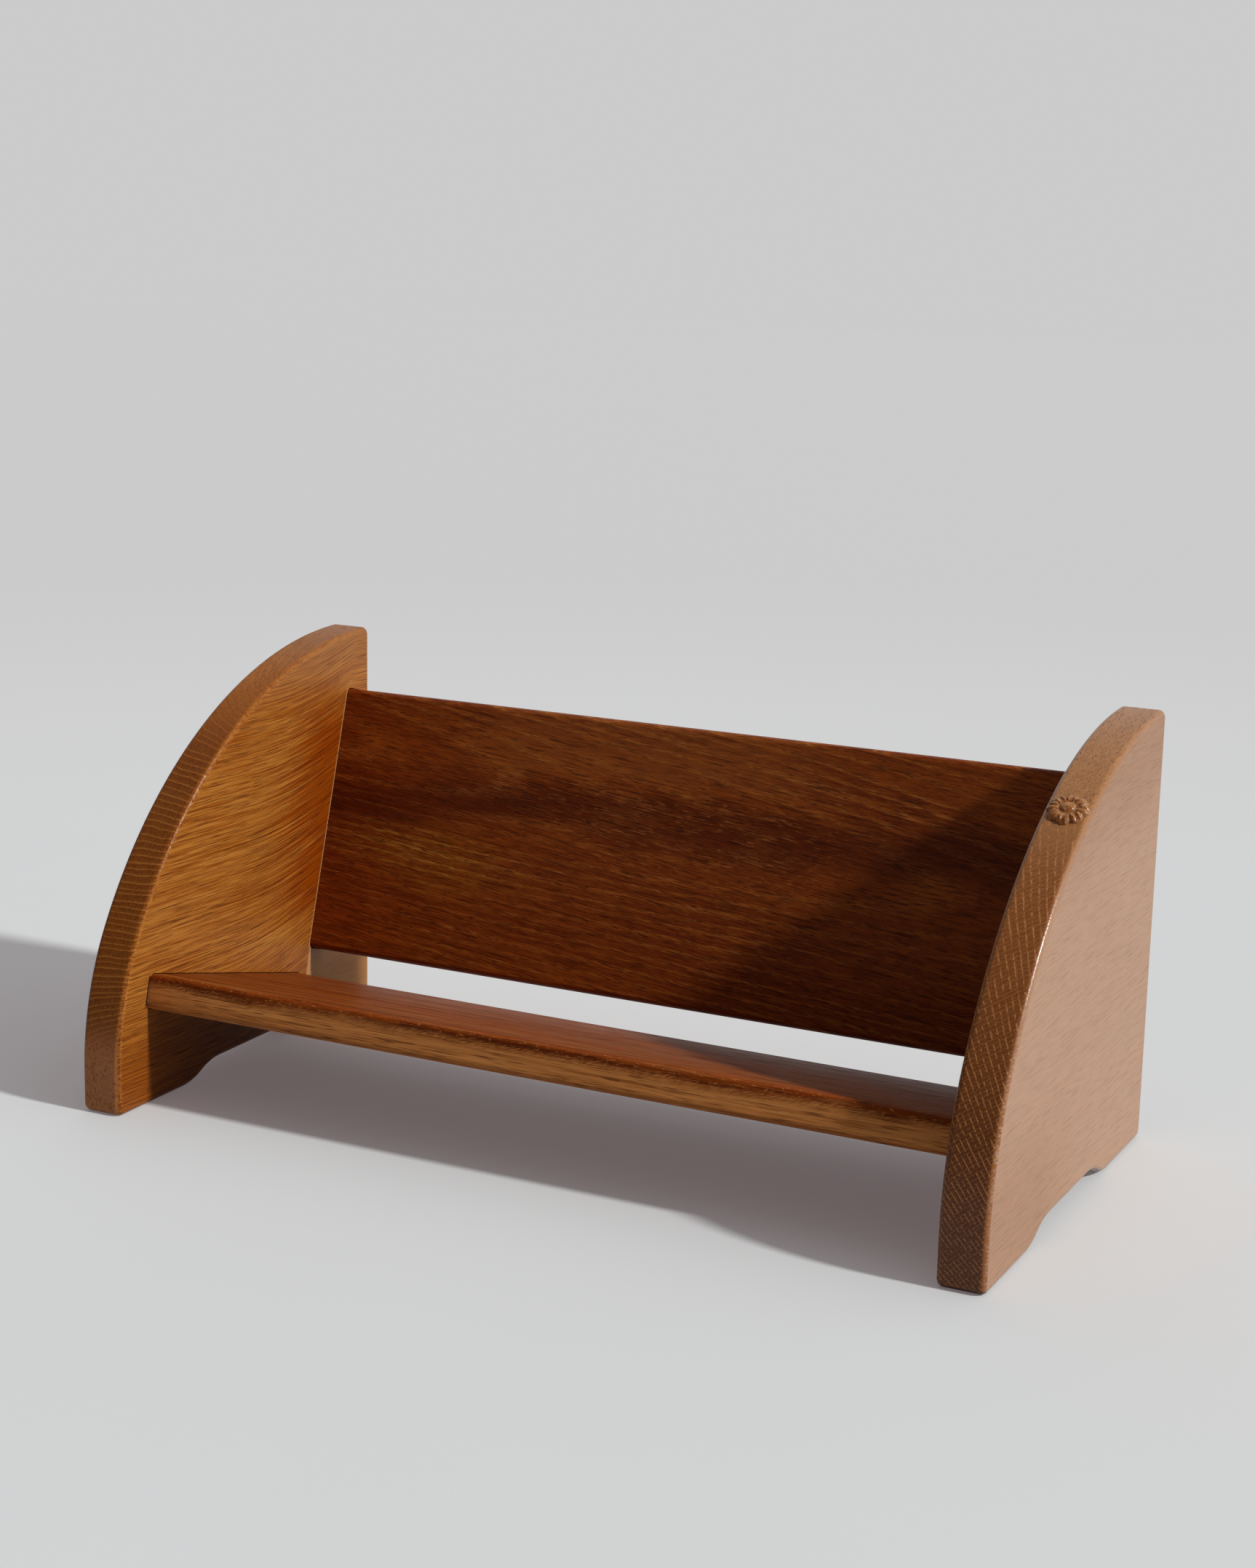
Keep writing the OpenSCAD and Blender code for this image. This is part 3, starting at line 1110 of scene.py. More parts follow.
@dataclass(frozen=True)
class ShelfOak(OakFinish):
    """Oak with dark streaks, streaks of painted sheen, painted shade at its ends, a painted highlight on
    the front arris, and pale sapwood along the front edge.

    Distances over the front arris count up on top and down in front, in millimetres.

    Attributes:
        margin: What the dark streaks and the lower arris multiply the colour by.
        bands: Pattern of the dark streaks.
        band_ramp: Their ramp.
        dull: Colour of the streaks of painted sheen.
        dulls: Their pattern.
        dull_ramp: Their ramp.
        dull_share: How strongly they show.
        tips: What the painted shade at the two ends of the top, beside the end panels, multiplies the
            colour by.
        tip_left: Ramp of the left end, from the left end panel.
        tip_right: Ramp of the right end.
        glow: What the painted highlight on the arris above the seam multiplies the colour by.
        glow_over: Its two ramps over the front arris.
        seam: What the dark seam beside the sapwood multiplies the colour by.
        seam_over: Its two ramps over the front arris.
        seam_bands: Ramp of the dark streaks that break it.
        sap: Colour of the sapwood.
        sap_over: Its ramp over the front arris.
        sap_streak: Ramp of the streaks in it.
        sap_pores: How strongly the vessels show in it.
        sparks: Pattern of the bright sparks along the arris.
        spark_ramp: Their ramp.
        spark_over: Their ramp of distance from the arris.
        spark_share: How strongly they show.
        under: Ramp of depth of the lower arris.
        under_share: How strongly it shows.
        bends: Pattern by which the sapwood's limit wanders.
        wave: How far it wanders, in millimetres.
        strokes: Pattern of the slanting strokes that fray it.
        slant: How far a stroke rises for each millimetre to the right.
        stroke: How far the strokes fray it, in millimetres.
    """

    margin: Colour = (0.62, 0.48, 0.36)
    bands: Cloud = Cloud((7.0, 150.0, 150.0), 3.0, 0.6)
    band_ramp: Ramp = (0.34, 0.56)
    dull: Colour = (0.282, 0.109, 0.038)
    dulls: Cloud = Cloud((11.0, 260.0, 260.0), 3.0, 0.65)
    dull_ramp: Ramp = (0.48, 0.62)
    dull_share: float = 0.65
    tips: Colour = (0.84, 0.78, 0.66)
    tip_left: Ramp = (110.0, 40.0)
    tip_right: Ramp = (320.0, 390.0)
    glow: Colour = (1.14, 1.07, 0.85)
    glow_over: tuple[Ramp, Ramp] = ((-7.0, -2.0), (12.0, 1.0))
    seam: Colour = (0.40, 0.26, 0.18)
    seam_over: tuple[Ramp, Ramp] = ((-7.0, -4.0), (3.5, -3.5))
    seam_bands: Ramp = (0.36, 0.60)
    sap: Colour = (0.585, 0.226, 0.063)
    sap_over: Ramp = (-2.5, -8.0)
    sap_streak: Ramp = (0.3, 0.6)
    sap_pores: float = 0.6
    sparks: Cloud = Cloud((450.0, 1200.0, 1200.0), 1.0)
    spark_ramp: Ramp = (0.62, 0.70)
    spark_over: Ramp = (7.0, 3.0)
    spark_share: float = 0.5
    under: Ramp = (-13.5, -16.0)
    under_share: float = 0.75
    bends: Cloud = Cloud((16.0, 0.0, 0.0), 4.0, 0.6)
    wave: float = 8.0
    strokes: Cloud = Cloud((0.25, 1.5, 0.0), 3.0, 0.65)
    slant: float = 1 / 3
    stroke: float = 9.0

    def zones(self, grain: Grain, colour: Socket) -> Socket:
        """Adds the streaks with the painted sheen, the painted shade at the ends, the front arris with its
        sapwood, and the lower arris.

        Args:
            grain: The wood's pattern.
            colour: The plain oak.

        Returns:
            The colour with its zones.
        """
        bench = grain.bench
        band = grain.cloud(self.bands)
        made = bench.spared(bench.step(band, self.band_ramp), colour, self.margin)
        # Painted sheen: pale greyish streaks along the grain.
        dull = bench.within((grain.cloud(self.dulls), self.dull_ramp), share=self.dull_share)
        made = bench.mix(dull, made, self.dull)
        # Painted shade: the top darkens toward both end panels.
        left = grain.above(LEFT_FACE)
        tips = bench.math("MAXIMUM", bench.step(left, self.tip_left), bench.step(left, self.tip_right))
        made = bench.tinted(tips, made, self.tips)
        made = self.front_arris(grain, made, band)
        under = bench.within((grain.above(SHELF_TOP), self.under), share=self.under_share)
        return bench.tinted(under, made, self.margin)

    def front_arris(self, grain: Grain, colour: Socket, band: Socket) -> Socket:
        """Adds the painted highlight, the dark seam, the sapwood and the sparks along the front arris.

        Args:
            grain: The wood's pattern.
            colour: The colour so far.
            band: The dark streaks, which break the seam.

        Returns:
            The colour with these zones.
        """
        bench = grain.bench
        over = self.over_arris(grain)
        # Painted highlight: the arris above the seam is brightened.
        made = bench.tinted(bench.within(*((over, ramp) for ramp in self.glow_over)), colour, self.glow)
        seam = bench.within(*((over, ramp) for ramp in self.seam_over), (band, self.seam_bands))
        made = bench.tinted(seam, made, self.seam)
        sap = bench.spared(bench.step(grain.streak, self.sap_streak), self.sap, self.shade)
        sap = bench.spared(bench.step(grain.fibre, FIBRE_RAMP), sap, self.shade)
        sap = bench.mix(bench.product(grain.pore, self.sap_pores), sap, self.vessel)
        made = bench.mix(bench.step(over, self.sap_over), made, sap)
        spark = bench.within(
            (grain.cloud(self.sparks), self.spark_ramp), (bench.math("ABSOLUTE", over), self.spark_over),
            share=self.spark_share)
        return bench.mix(spark, made, self.fleck)

    def over_arris(self, grain: Grain) -> Socket:
        """Measures the distance over the front arris, frayed by bends and slanting strokes.

        Args:
            grain: The wood's pattern.

        Returns:
            The frayed distance.
        """
        bench = grain.bench
        arc = bench.math("SUBTRACT", grain.above(SHELF_TOP), grain.above(SHELF_FRONT))
        left = grain.above(LEFT_FACE)
        stroke = self.strokes.read(bench, bench.joined(left, bench.plus(arc, left, -self.slant), 0.0))
        return bench.frayed(bench.frayed(arc, stroke, self.stroke), grain.cloud(self.bends), self.wave)


@dataclass(frozen=True)
class BackOak(OakFinish):
    """Oak with a wavy dark band along its middle, a redder left end and an amber patch.

    Heights count up the board from its foot and lengths from the left end panel, in millimetres.

    Attributes:
        band: What the dark band multiplies the colour by.
        band_height: Height of its middle.
        band_ramp: Its ramp of distance from the middle.
        band_share: How strongly it shows.
        sways: Pattern by which it sways.
        sway: How far it sways.
        fray: How far the streaks fray it.
        crest: Colour of the pale wavy lines along the band and of the paler zone over it.
        crest_gap: Distance from line to line.
        crest_width: Ramp of a line's width, in gaps.
        crest_fibre: Ramp of the fibres that break it.
        crest_middle: Length at which the lines lie.
        crest_along: Their ramp of distance from there.
        crest_reach: Their ramp of distance from the band's middle.
        crest_share: How strongly they show.
        waves: Pattern of the lines.
        wave: How far they sway.
        paler_middle: Length at which the paler zone lies.
        paler_along: Its ramp of distance from there.
        paler_over: Its ramp of height over the band's middle.
        paler_share: How strongly it shows.
        red: What the left end multiplies the colour by.
        red_ramp: Its ramp of length.
        red_fray: How far the patches fray it.
        crack: Ramp of the long dark lines.
        crack_share: How strongly they show.
        amber: What the amber patch multiplies the colour by.
        amber_place: Its length and height.
        amber_ramp: Its ramp of distance from there.
        amber_stretch: How many times as long as high it is.
        amber_fall: How far it falls for each millimetre to the right.
        amber_fray: How far the streaks fray it.
    """

    band: Colour = (0.53, 0.43, 0.52)
    band_height: float = 85.5
    band_ramp: Ramp = (19.0, 5.0)
    band_share: float = 0.92
    sways: Cloud = Cloud((9.0, 9.0, 9.0))
    sway: float = 50.0
    fray: float = 16.0
    crest: Colour = (0.50, 0.18, 0.045)
    crest_gap: float = 6.0
    crest_width: Ramp = (0.14, 0.03)
    crest_fibre: Ramp = (0.42, 0.6)
    crest_middle: float = 205.0
    crest_along: Ramp = (110.0, 50.0)
    crest_reach: Ramp = (34.0, 16.0)
    crest_share: float = 0.45
    waves: Cloud = Cloud((22.0, 22.0, 40.0), 3.0, 0.6)
    wave: float = 30.0
    paler_middle: float = 180.0
    paler_along: Ramp = (130.0, 50.0)
    paler_over: Ramp = (14.0, 26.0)
    paler_share: float = 0.12
    red: Colour = (0.85, 0.66, 0.5)
    red_ramp: Ramp = (85.0, -5.0)
    red_fray: float = 90.0
    crack: Ramp = (0.69, 0.74)
    crack_share: float = 0.6
    amber: Colour = (1.15, 1.5, 1.3)
    amber_place: tuple[float, float] = (65.0, 64.0)
    amber_ramp: Ramp = (24.0, 4.0)
    amber_stretch: float = 3.0
    amber_fall: float = 0.1
    amber_fray: float = 24.0

    def zones(self, grain: Grain, colour: Socket) -> Socket:
        """Adds the dark band with its lines, the red end, long dark lines and the amber patch.

        Args:
            grain: The wood's pattern.
            colour: The plain oak.

        Returns:
            The colour with its zones.
        """
        bench = grain.bench
        made = self.dark_band(grain, colour)
        near = bench.step(bench.frayed(grain.above(LEFT_FACE), grain.patch, self.red_fray), self.red_ramp)
        made = bench.tinted(near, made, self.red)
        lines = CRACKS.read(bench, grain.place, self.fine)
        made = bench.mix(bench.within((lines, self.crack), share=self.crack_share), made, self.vessel)
        return bench.tinted(self.amber_patch(grain), made, self.amber)

    def dark_band(self, grain: Grain, colour: Socket) -> Socket:
        """Adds the dark band, the pale wavy lines along it and the paler zone over it.

        Args:
            grain: The wood's pattern.
            colour: The colour so far.

        Returns:
            The colour with the band.
        """
        bench = grain.bench
        left = grain.above(LEFT_FACE)
        off = bench.math("SUBTRACT", grain.above(BACK_FOOT), self.band_height)
        off = bench.frayed(off, grain.cloud(self.sways), self.sway)
        off = bench.frayed(off, grain.streak, self.fray)
        away = bench.math("ABSOLUTE", off)
        dark = bench.within((away, self.band_ramp), share=self.band_share)
        made = bench.tinted(dark, colour, self.band)

        lines = bench.plus(off, grain.cloud(self.waves), self.wave)
        lines = bench.math("FRACT", bench.math("DIVIDE", lines, self.crest_gap))
        crest = bench.within(
            (bench.apart(lines, 0.5), self.crest_width), (grain.fibre, self.crest_fibre),
            (bench.apart(left, self.crest_middle), self.crest_along), (away, self.crest_reach),
            share=self.crest_share)
        made = bench.mix(crest, made, self.crest)
        paler = bench.within(
            (bench.apart(left, self.paler_middle), self.paler_along), (off, self.paler_over),
            share=self.paler_share)
        return bench.mix(paler, made, self.crest)

    def amber_patch(self, grain: Grain) -> Socket:
        """Finds the long amber patch near the left end, which falls a little to the right.

        Args:
            grain: The wood's pattern.

        Returns:
            1 in the middle of the patch.
        """
        bench = grain.bench
        left = grain.above(LEFT_FACE)
        length, height = self.amber_place
        away = bench.math("DIVIDE", bench.math("SUBTRACT", left, length), self.amber_stretch)
        over = bench.plus(bench.math("SUBTRACT", grain.above(BACK_FOOT), height), left, self.amber_fall)
        over = bench.frayed(over, grain.streak, self.amber_fray)
        return bench.step(bench.length(bench.joined(away, over, 0.0)), self.amber_ramp)


@dataclass(frozen=True)
class Pen:
    """Draws a side view as a chain of edges, in edit mode, at one X.

    Attributes:
        x: Where the side view lies.
    """

    x: float

    def start(self, y: float, z: float) -> None:
        """Starts the chain at a point, from a plane that is merged to one vertex."""
        clear_selection()
        bpy.ops.mesh.primitive_plane_add(size=MM, location=(self.x, y, z))
        bpy.ops.object.transform_apply(location=True, rotation=True, scale=True)
        bpy.ops.object.mode_set(mode="EDIT")
        bpy.ops.mesh.select_mode(type="VERT")
        bpy.ops.mesh.select_all(action="SELECT")
        bpy.ops.mesh.merge(type="CENTER")

    def line(self, dy: float, dz: float) -> None:
        """Extrudes the chain's end along a straight line."""
        bpy.ops.mesh.extrude_region_move(TRANSFORM_OT_translate={"value": (0.0, dy, dz)})

    def arc(self, centre: Vector, degrees: float, steps: int = FINE_STEPS) -> None:
        """Spins the chain's end about a centre, from +Y to +Z where degrees is above zero."""
        middle = (self.x, centre[0], centre[1])
        bpy.ops.mesh.spin(steps=steps, angle=math.radians(degrees), center=middle, axis=(-1, 0, 0))

    def fill(self) -> None:
        """Closes the chain and fills it with one face."""
        bpy.ops.mesh.select_all(action="SELECT")
        bpy.ops.mesh.remove_doubles(threshold=TOUCH)
        bpy.ops.mesh.edge_face_add()


def clear_selection() -> None:
    """Leaves edit mode and deselects every object."""
    if bpy.context.mode != "OBJECT":
        bpy.ops.object.mode_set(mode="OBJECT")
    bpy.ops.object.select_all(action="DESELECT")


def select_edges(test: Callable[[Vector, Vector], bool]) -> None:
    """Selects edges of the mesh in edit mode by the places of their two ends.

    Args:
        test: Says whether an edge between two points is taken.
    """
    bpy.ops.mesh.select_mode(type="EDGE")
    bpy.ops.mesh.select_all(action="DESELECT")
    mesh = bmesh.from_edit_mesh(bpy.context.object.data)
    for edge in mesh.edges:
        edge.select_set(test(edge.verts[0].co, edge.verts[1].co))
    bmesh.update_edit_mesh(bpy.context.object.data)


def select_vertices(test: Callable[[Vector], bool]) -> None:
    """Selects vertices of the mesh in edit mode by their places.

    Args:
        test: Says whether a vertex is taken.
    """
    bpy.ops.mesh.select_mode(type="VERT")
    bpy.ops.mesh.select_all(action="DESELECT")
    mesh = bmesh.from_edit_mesh(bpy.context.object.data)
    for vertex in mesh.verts:
        vertex.select_set(test(vertex.co))
    mesh.select_flush_mode()
    bmesh.update_edit_mesh(bpy.context.object.data)


def make_active(piece: bpy.types.Object) -> None:
    """Selects one object alone."""
    clear_selection()
    piece.select_set(True)
    bpy.context.view_layer.objects.active = piece


def apply_modifier(piece: bpy.types.Object, kind: str, **settings: Any) -> None:
    """Adds a modifier to a piece and applies it.

    Args:
        piece: The piece.
        kind: The modifier's type.
        settings: Its properties by name.
    """
    make_active(piece)
    made = piece.modifiers.new(kind.title(), kind)
    for name, value in settings.items():
        setattr(made, name, value)
    bpy.ops.object.modifier_apply(modifier=made.name)


def boolean(piece: bpy.types.Object, other: bpy.types.Object, joining: Joining) -> None:
    """Cuts another object out of a piece, or joins it on, and removes the other.

    Args:
        piece: The piece that is kept.
        other: The cutter, or the form that is joined on.
        joining: What the other form does to the piece.
    """
    apply_modifier(piece, "BOOLEAN", object=other, operation=joining.value, solver="EXACT")
    bpy.data.objects.remove(other, do_unlink=True)


def join(pieces: Sequence[bpy.types.Object]) -> bpy.types.Object:
    """Joins objects into the first one.

    Args:
        pieces: The objects.

    Returns:
        The first object, which now holds them all.
    """
    make_active(pieces[0])
    for piece in pieces:
        piece.select_set(True)
    bpy.ops.object.join()
    return pieces[0]


def finish_piece(piece: bpy.types.Object, node: str, slot: str, look: bpy.types.Material) -> None:
    """Smooths a piece, names it after its node, dresses it and ties it to the frame.

    Args:
        piece: The piece.
        node: The node that it stands for.
        slot: The record's material slot; not used.
        look: Its material.
    """
    make_active(piece)
    bpy.ops.object.shade_smooth_by_angle(angle=SMOOTH_ANGLE)
    apply_modifier(piece, "WEIGHTED_NORMAL", keep_sharp=True, weight=NORMAL_WEIGHT)
    piece.name = node + "_oak"
    piece.data.name = piece.name
    piece.data.materials.clear()
    piece.data.materials.append(look)
    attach(piece, "root")
    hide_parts(node)
    LOG.info("%s: %d faces", piece.name, len(piece.data.polygons))


@dataclass(frozen=True)
class DowelHoles:
    """The blind holes round the dowels of one joint.

    Attributes:
        nodes: The dowels' nodes.
        clearance: Room round a dowel.
        glue_gap: Room past each end of a dowel.
        facets: Number of sides of a hole.
    """

    nodes: tuple[str, ...]
    clearance: float = 0.05 * MM
    glue_gap: float = 1.0 * MM
    facets: int = 48

    def cutter(self) -> bpy.types.Object:
        """Makes one cutter with a round pin for each hole.

        Returns:
            The cutter.
        """
        pins = []
        for node in self.nodes:
            low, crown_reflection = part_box(node)
            size = crown_reflection - low
            clear_selection()
            bpy.ops.mesh.primitive_cylinder_add(
                vertices=self.facets, radius=size.y / 2 + self.clearance, depth=size.x + 2 * self.glue_gap,
                location=(low + crown_reflection) / 2, rotation=(0, math.pi / 2, 0))
            bpy.ops.object.transform_apply(location=True, rotation=True, scale=True)
            pins.append(bpy.context.object)
        return join(pins)


@dataclass(frozen=True)
class Board:
    """A straight board with rounded long edges, let into both ends.

    Attributes:
        node: Its node.
        slot: Its material slot.
        width: Its width across the grain.
        thickness: Its thickness.
        tilt: Its turn about X, in degrees, from a board that stands upright.
        holes: The holes of its dowels.
        arris: Rounding of its long edges.
    """

    node: str
    slot: str
    width: float
    thickness: float
    tilt: float
    holes: DowelHoles
    arris: float = 3 * MM

    def prism(self, length: float, x: float, grow: float = 0.0) -> bpy.types.Object:
        """Models a length of the board's section.

        Args:
            length: The length along X.
            x: The middle of that length.
            grow: Room added on every side of the section.

        Returns:
            The object, with its place in its mesh.
        """
        low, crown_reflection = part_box(self.node)
        middle = (low + crown_reflection) / 2
        clear_selection()
        bpy.ops.mesh.primitive_cube_add(
            size=1.0, location=(x, middle.y, middle.z), rotation=(math.radians(self.tilt), 0, 0),
            scale=(length, self.thickness + 2 * grow, self.width + 2 * grow))
        bpy.ops.object.transform_apply(location=True, rotation=True, scale=True)
        bpy.ops.object.mode_set(mode="EDIT")
        select_edges(lambda a, b: abs(a.x - b.x) > length / 2)
        bpy.ops.mesh.bevel(offset=self.arris + grow, segments=FINE_STEPS, profile=0.5, affect="EDGES")
        bpy.ops.object.mode_set(mode="OBJECT")
        return bpy.context.object

    def build(self, look: bpy.types.Material) -> None:
        """Models the whole board with the holes in its ends and dresses it."""
        low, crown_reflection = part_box(self.node)
        piece = self.prism(crown_reflection.x - low.x, (low.x + crown_reflection.x) / 2)
        boolean(piece, self.holes.cutter(), Joining.CUT)
        finish_piece(piece, self.node, self.slot, look)


@dataclass(frozen=True)
class Rosette:
    """A round rosette carved on the front edge of an end panel.

    Attributes:
        diameter: Its diameter over the petals.
        relief: How far it stands out.
        petals: The number of petals.
        drop: Depth of its centre below the top of the panel.
        petal_size: Half width and half length of a petal, as shares of the diameter.
        petal_height: Its height, as a share of the relief.
        petal_middle: Distance of its middle from the centre, as a share of the diameter.
        waist: Width of its inner part, as a share of its full width.
        waist_end: Where that part ends, as a share of the diameter.
        groove: Half width of its groove, as a share of its half width.
        groove_depth: Depth of the groove, as a share of the relief.
        boss_radius: Radius of the boss, as a share of the diameter.
        boss_top: Height over which the boss is pressed flat, as a share of the relief.
        boss_press: How far it is pressed, as a share of the relief.
        voxel: Size of the grid on which the forms are made one.
    """

    diameter: float = 20 * MM
    relief: float = 3.4 * MM
    petals: int = 8
    drop: float = 28 * MM
    petal_size: tuple[float, float] = (0.18, 0.216)
    petal_height: float = 0.8
    petal_middle: float = 0.28
    waist: float = 0.62
    waist_end: float = 0.25
    groove: float = 0.25
    groove_depth: float = 0.22
    boss_radius: float = 0.2
    boss_top: float = 0.86
    boss_press: float = 0.1
    voxel: float = 0.28 * MM

    def petal(self) -> bpy.types.Object:
        """Models one petal that lies along +Y, wide and round outside, narrow at the middle.

        Returns:
            The petal.
        """
        width, length = (share * self.diameter for share in self.petal_size)
        clear_selection()
        bpy.ops.mesh.primitive_uv_sphere_add(
            segments=24, ring_count=16, radius=1.0, location=(0, self.petal_middle * self.diameter, 0),
            scale=(width, length, self.relief * self.petal_height))
        bpy.ops.object.transform_apply(location=True, rotation=True, scale=True)
        bpy.ops.object.mode_set(mode="EDIT")
        select_vertices(lambda co: co.y < self.waist_end * self.diameter)
        bpy.ops.transform.resize(value=(self.waist, 1.0, 1.0), center_override=(0, 0, 0))
        select_vertices(lambda co: abs(co.x) < self.groove * width and co.z > 0)
        bpy.ops.transform.translate(value=(0, 0, -self.groove_depth * self.relief))
        bpy.ops.object.mode_set(mode="OBJECT")
        return bpy.context.object

    def boss(self) -> bpy.types.Object:
        """Models the domed boss in the middle, with its top pressed a little flat.

        Returns:
            The boss.
        """
        radius = self.boss_radius * self.diameter
        clear_selection()
        bpy.ops.mesh.primitive_uv_sphere_add(
            segments=48, ring_count=24, radius=1.0, scale=(radius, radius, self.relief))
        bpy.ops.object.transform_apply(location=True, rotation=True, scale=True)
        bpy.ops.object.mode_set(mode="EDIT")
        select_vertices(lambda co: co.z > self.boss_top * self.relief)
        bpy.ops.transform.translate(value=(0, 0, -self.boss_press * self.relief))
        bpy.ops.object.mode_set(mode="OBJECT")
        return bpy.context.object

    def build(self, place: Vector, lean: float) -> bpy.types.Object:
        """Carves the rosette as one closed form.

        Args:
            place: Its centre on the panel's edge.
            lean: Its turn about X, in radians, from lying flat.

        Returns:
            The rosette in place.
        """
        petal = self.petal()
        make_active(petal)
        bpy.ops.object.mode_set(mode="EDIT")
        bpy.ops.mesh.select_all(action="SELECT")
        others = self.petals - 1
        turn = 2 * math.pi * others / self.petals
        bpy.ops.mesh.spin(steps=others, dupli=True, angle=turn, center=(0, 0, 0), axis=(0, 0, 1))
        bpy.ops.object.mode_set(mode="OBJECT")
        carved = join([petal, self.boss()])
        apply_modifier(carved, "REMESH", mode="VOXEL", voxel_size=self.voxel)
        apply_modifier(carved, "SMOOTH", factor=0.5, iterations=3)
        carved.rotation_euler = (lean, 0, 0)
        carved.location = place
        make_active(carved)
        bpy.ops.object.transform_apply(location=True, rotation=True, scale=True)
        return carved


@dataclass(frozen=True)
class EndPanel:
    """An end panel with a curved front edge, an arch between its feet and housings for the boards.

    Attributes:
        side: Which end it is.
        front_radius: Radius of the lower front curve.
        front_rise: Height of the upright foot below the curve.
        front_steps: Number of edges along the lower curve.
        crown_steps: Number of edges along the upper curve.
        arch_height: Height of the arch.
        arch_flat: Length of the arch's flat top.
        arch_run: Length of each curved end of the arch.
        corner: Rounding of the outline's corners.
        arris: Rounding of the long arrises.
        arris_steps: Number of faces across such a rounding.
        housing: Depth of the housings.
        clearance: Room round a board in its housing.
    """

    side: Side
    front_radius: float = 140 * MM
    front_rise: float = 20 * MM
    front_steps: int = 24
    crown_steps: int = 56
    arch_height: float = 7.5 * MM
    arch_flat: float = 56 * MM
    arch_run: float = 32 * MM
    corner: float = 4 * MM
    arris: float = 3 * MM
    arris_steps: int = 6
    housing: float = 7 * MM
    clearance: float = 0.45 * MM

    @property
    def node(self) -> str:
        """The panel's node."""
        return self.side.word + "_end"

    @property
    def faces(self) -> tuple[float, float]:
        """X of the inner and of the outer face."""
        low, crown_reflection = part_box(self.node)
        return (crown_reflection.x, low.x) if self.side is Side.LEFT else (low.x, crown_reflection.x)

    @property
    def crown(self) -> tuple[Vector, float]:
        """Centre, as Y and Z, and radius of the upper curve, which ends level at the back edge."""
        low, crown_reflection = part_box(self.node)
        depth = crown_reflection.y - low.y
        rise = crown_reflection.z - self.front_rise
        radius = (depth - self.front_radius) ** 2 + rise ** 2 - self.front_radius ** 2
        radius = radius / (2 * (rise - self.front_radius))
        return Vector((crown_reflection.y, crown_reflection.z - radius)), radius

    def outline(self) -> bpy.types.Object:
        """Draws the side view and fills it.

        Returns:
            The flat object.
        """
        low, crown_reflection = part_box(self.node)
        crown, radius = self.crown
        corner = self.corner
        front = Vector((low.y + self.front_radius, self.front_rise))
        meeting = math.degrees(math.atan2(front.y - crown.y, front.x - crown.x))
        top = math.degrees(math.acos(-corner / radius))
        shoulder = crown.y + math.sqrt(radius ** 2 - corner ** 2)

        pen = Pen(self.faces[0])
        pen.start(low.y + corner, 0.0)
        pen.arc(Vector((low.y + corner, corner)), CORNER_TURN)
        pen.line(0, self.front_rise - corner)
        pen.arc(front, meeting - 180, self.front_steps)
        pen.arc(crown, top - meeting, self.crown_steps)
        pen.arc(Vector((crown_reflection.y - corner, shoulder - corner)), CORNER_TURN)
        pen.line(0, 2 * corner - shoulder)
        pen.arc(Vector((crown_reflection.y - corner, corner)), CORNER_TURN)
        self.under_side(pen)
        pen.fill()
        return bpy.context.object

    def under_side(self, pen: Pen) -> None:
        """Draws the feet and the arch with a pen, from the back foot to the front one."""
        low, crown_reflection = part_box(self.node)
        half = self.arch_flat / 2
        foot = half + self.arch_run
        curl = (self.arch_run ** 2 + self.arch_height ** 2) / (4 * self.arch_height)
        swing = math.degrees(math.asin(self.arch_run / 2 / curl))
        pen.line(foot + self.corner - crown_reflection.y, 0)
        pen.arc(Vector((foot, curl)), -swing)
        pen.arc(Vector((half, self.arch_height - curl)), swing)
        pen.line(-self.arch_flat, 0)
        pen.arc(Vector((-half, self.arch_height - curl)), swing)
        pen.arc(Vector((-foot, curl)), -swing)
        pen.line(low.y + self.corner + foot, 0)

    def blank(self) -> bpy.types.Object:
        """Models the panel before its joints are cut.

        Returns:
            The solid panel with rounded arrises.
        """
        inner, outer = self.faces
        piece = self.outline()
        bpy.ops.mesh.select_all(action="SELECT")
        bpy.ops.mesh.extrude_region_move(TRANSFORM_OT_translate={"value": (outer - inner, 0, 0)})
        bpy.ops.mesh.select_all(action="SELECT")
        bpy.ops.mesh.normals_make_consistent(inside=False)
        select_edges(lambda a, b: abs(a.x - b.x) < TOUCH)
        bpy.ops.mesh.bevel(
            offset=self.arris, segments=self.arris_steps, profile=0.5, affect="EDGES", clamp_overlap=False)
        bpy.ops.object.mode_set(mode="OBJECT")
        return piece

    def carving(self, rosette: Rosette) -> bpy.types.Object:
        """Places a rosette on the crown."""
        crown, radius = self.crown
        swing = math.acos(1 - rosette.drop / radius)
        y = crown.x - radius * math.sin(swing)
        z = crown.y + radius * math.cos(swing)
        return rosette.build(Vector((sum(self.faces) / 2, y, z)), swing)

    def build(self, boards: Sequence[Board], holes: DowelHoles, look: bpy.types.Material,
              rosette: Optional[Rosette] = None) -> None:
        """Models the panel with its housings, holes and carving, and dresses it.

        Args:
            boards: The boards that are let in.
            holes: The holes of this end's dowels.
            look: The panel's material.
            rosette: The carving on its front edge, if it has one.
        """
        piece = self.blank()
        for board in boards:
            boolean(piece, board.prism(2 * self.housing, self.faces[0], self.clearance), Joining.CUT)
        boolean(piece, holes.cutter(), Joining.CUT)
        if rosette is not None:
            boolean(piece, self.carving(rosette), Joining.ADD)
        finish_piece(piece, self.node, self.node + "_oak", look)


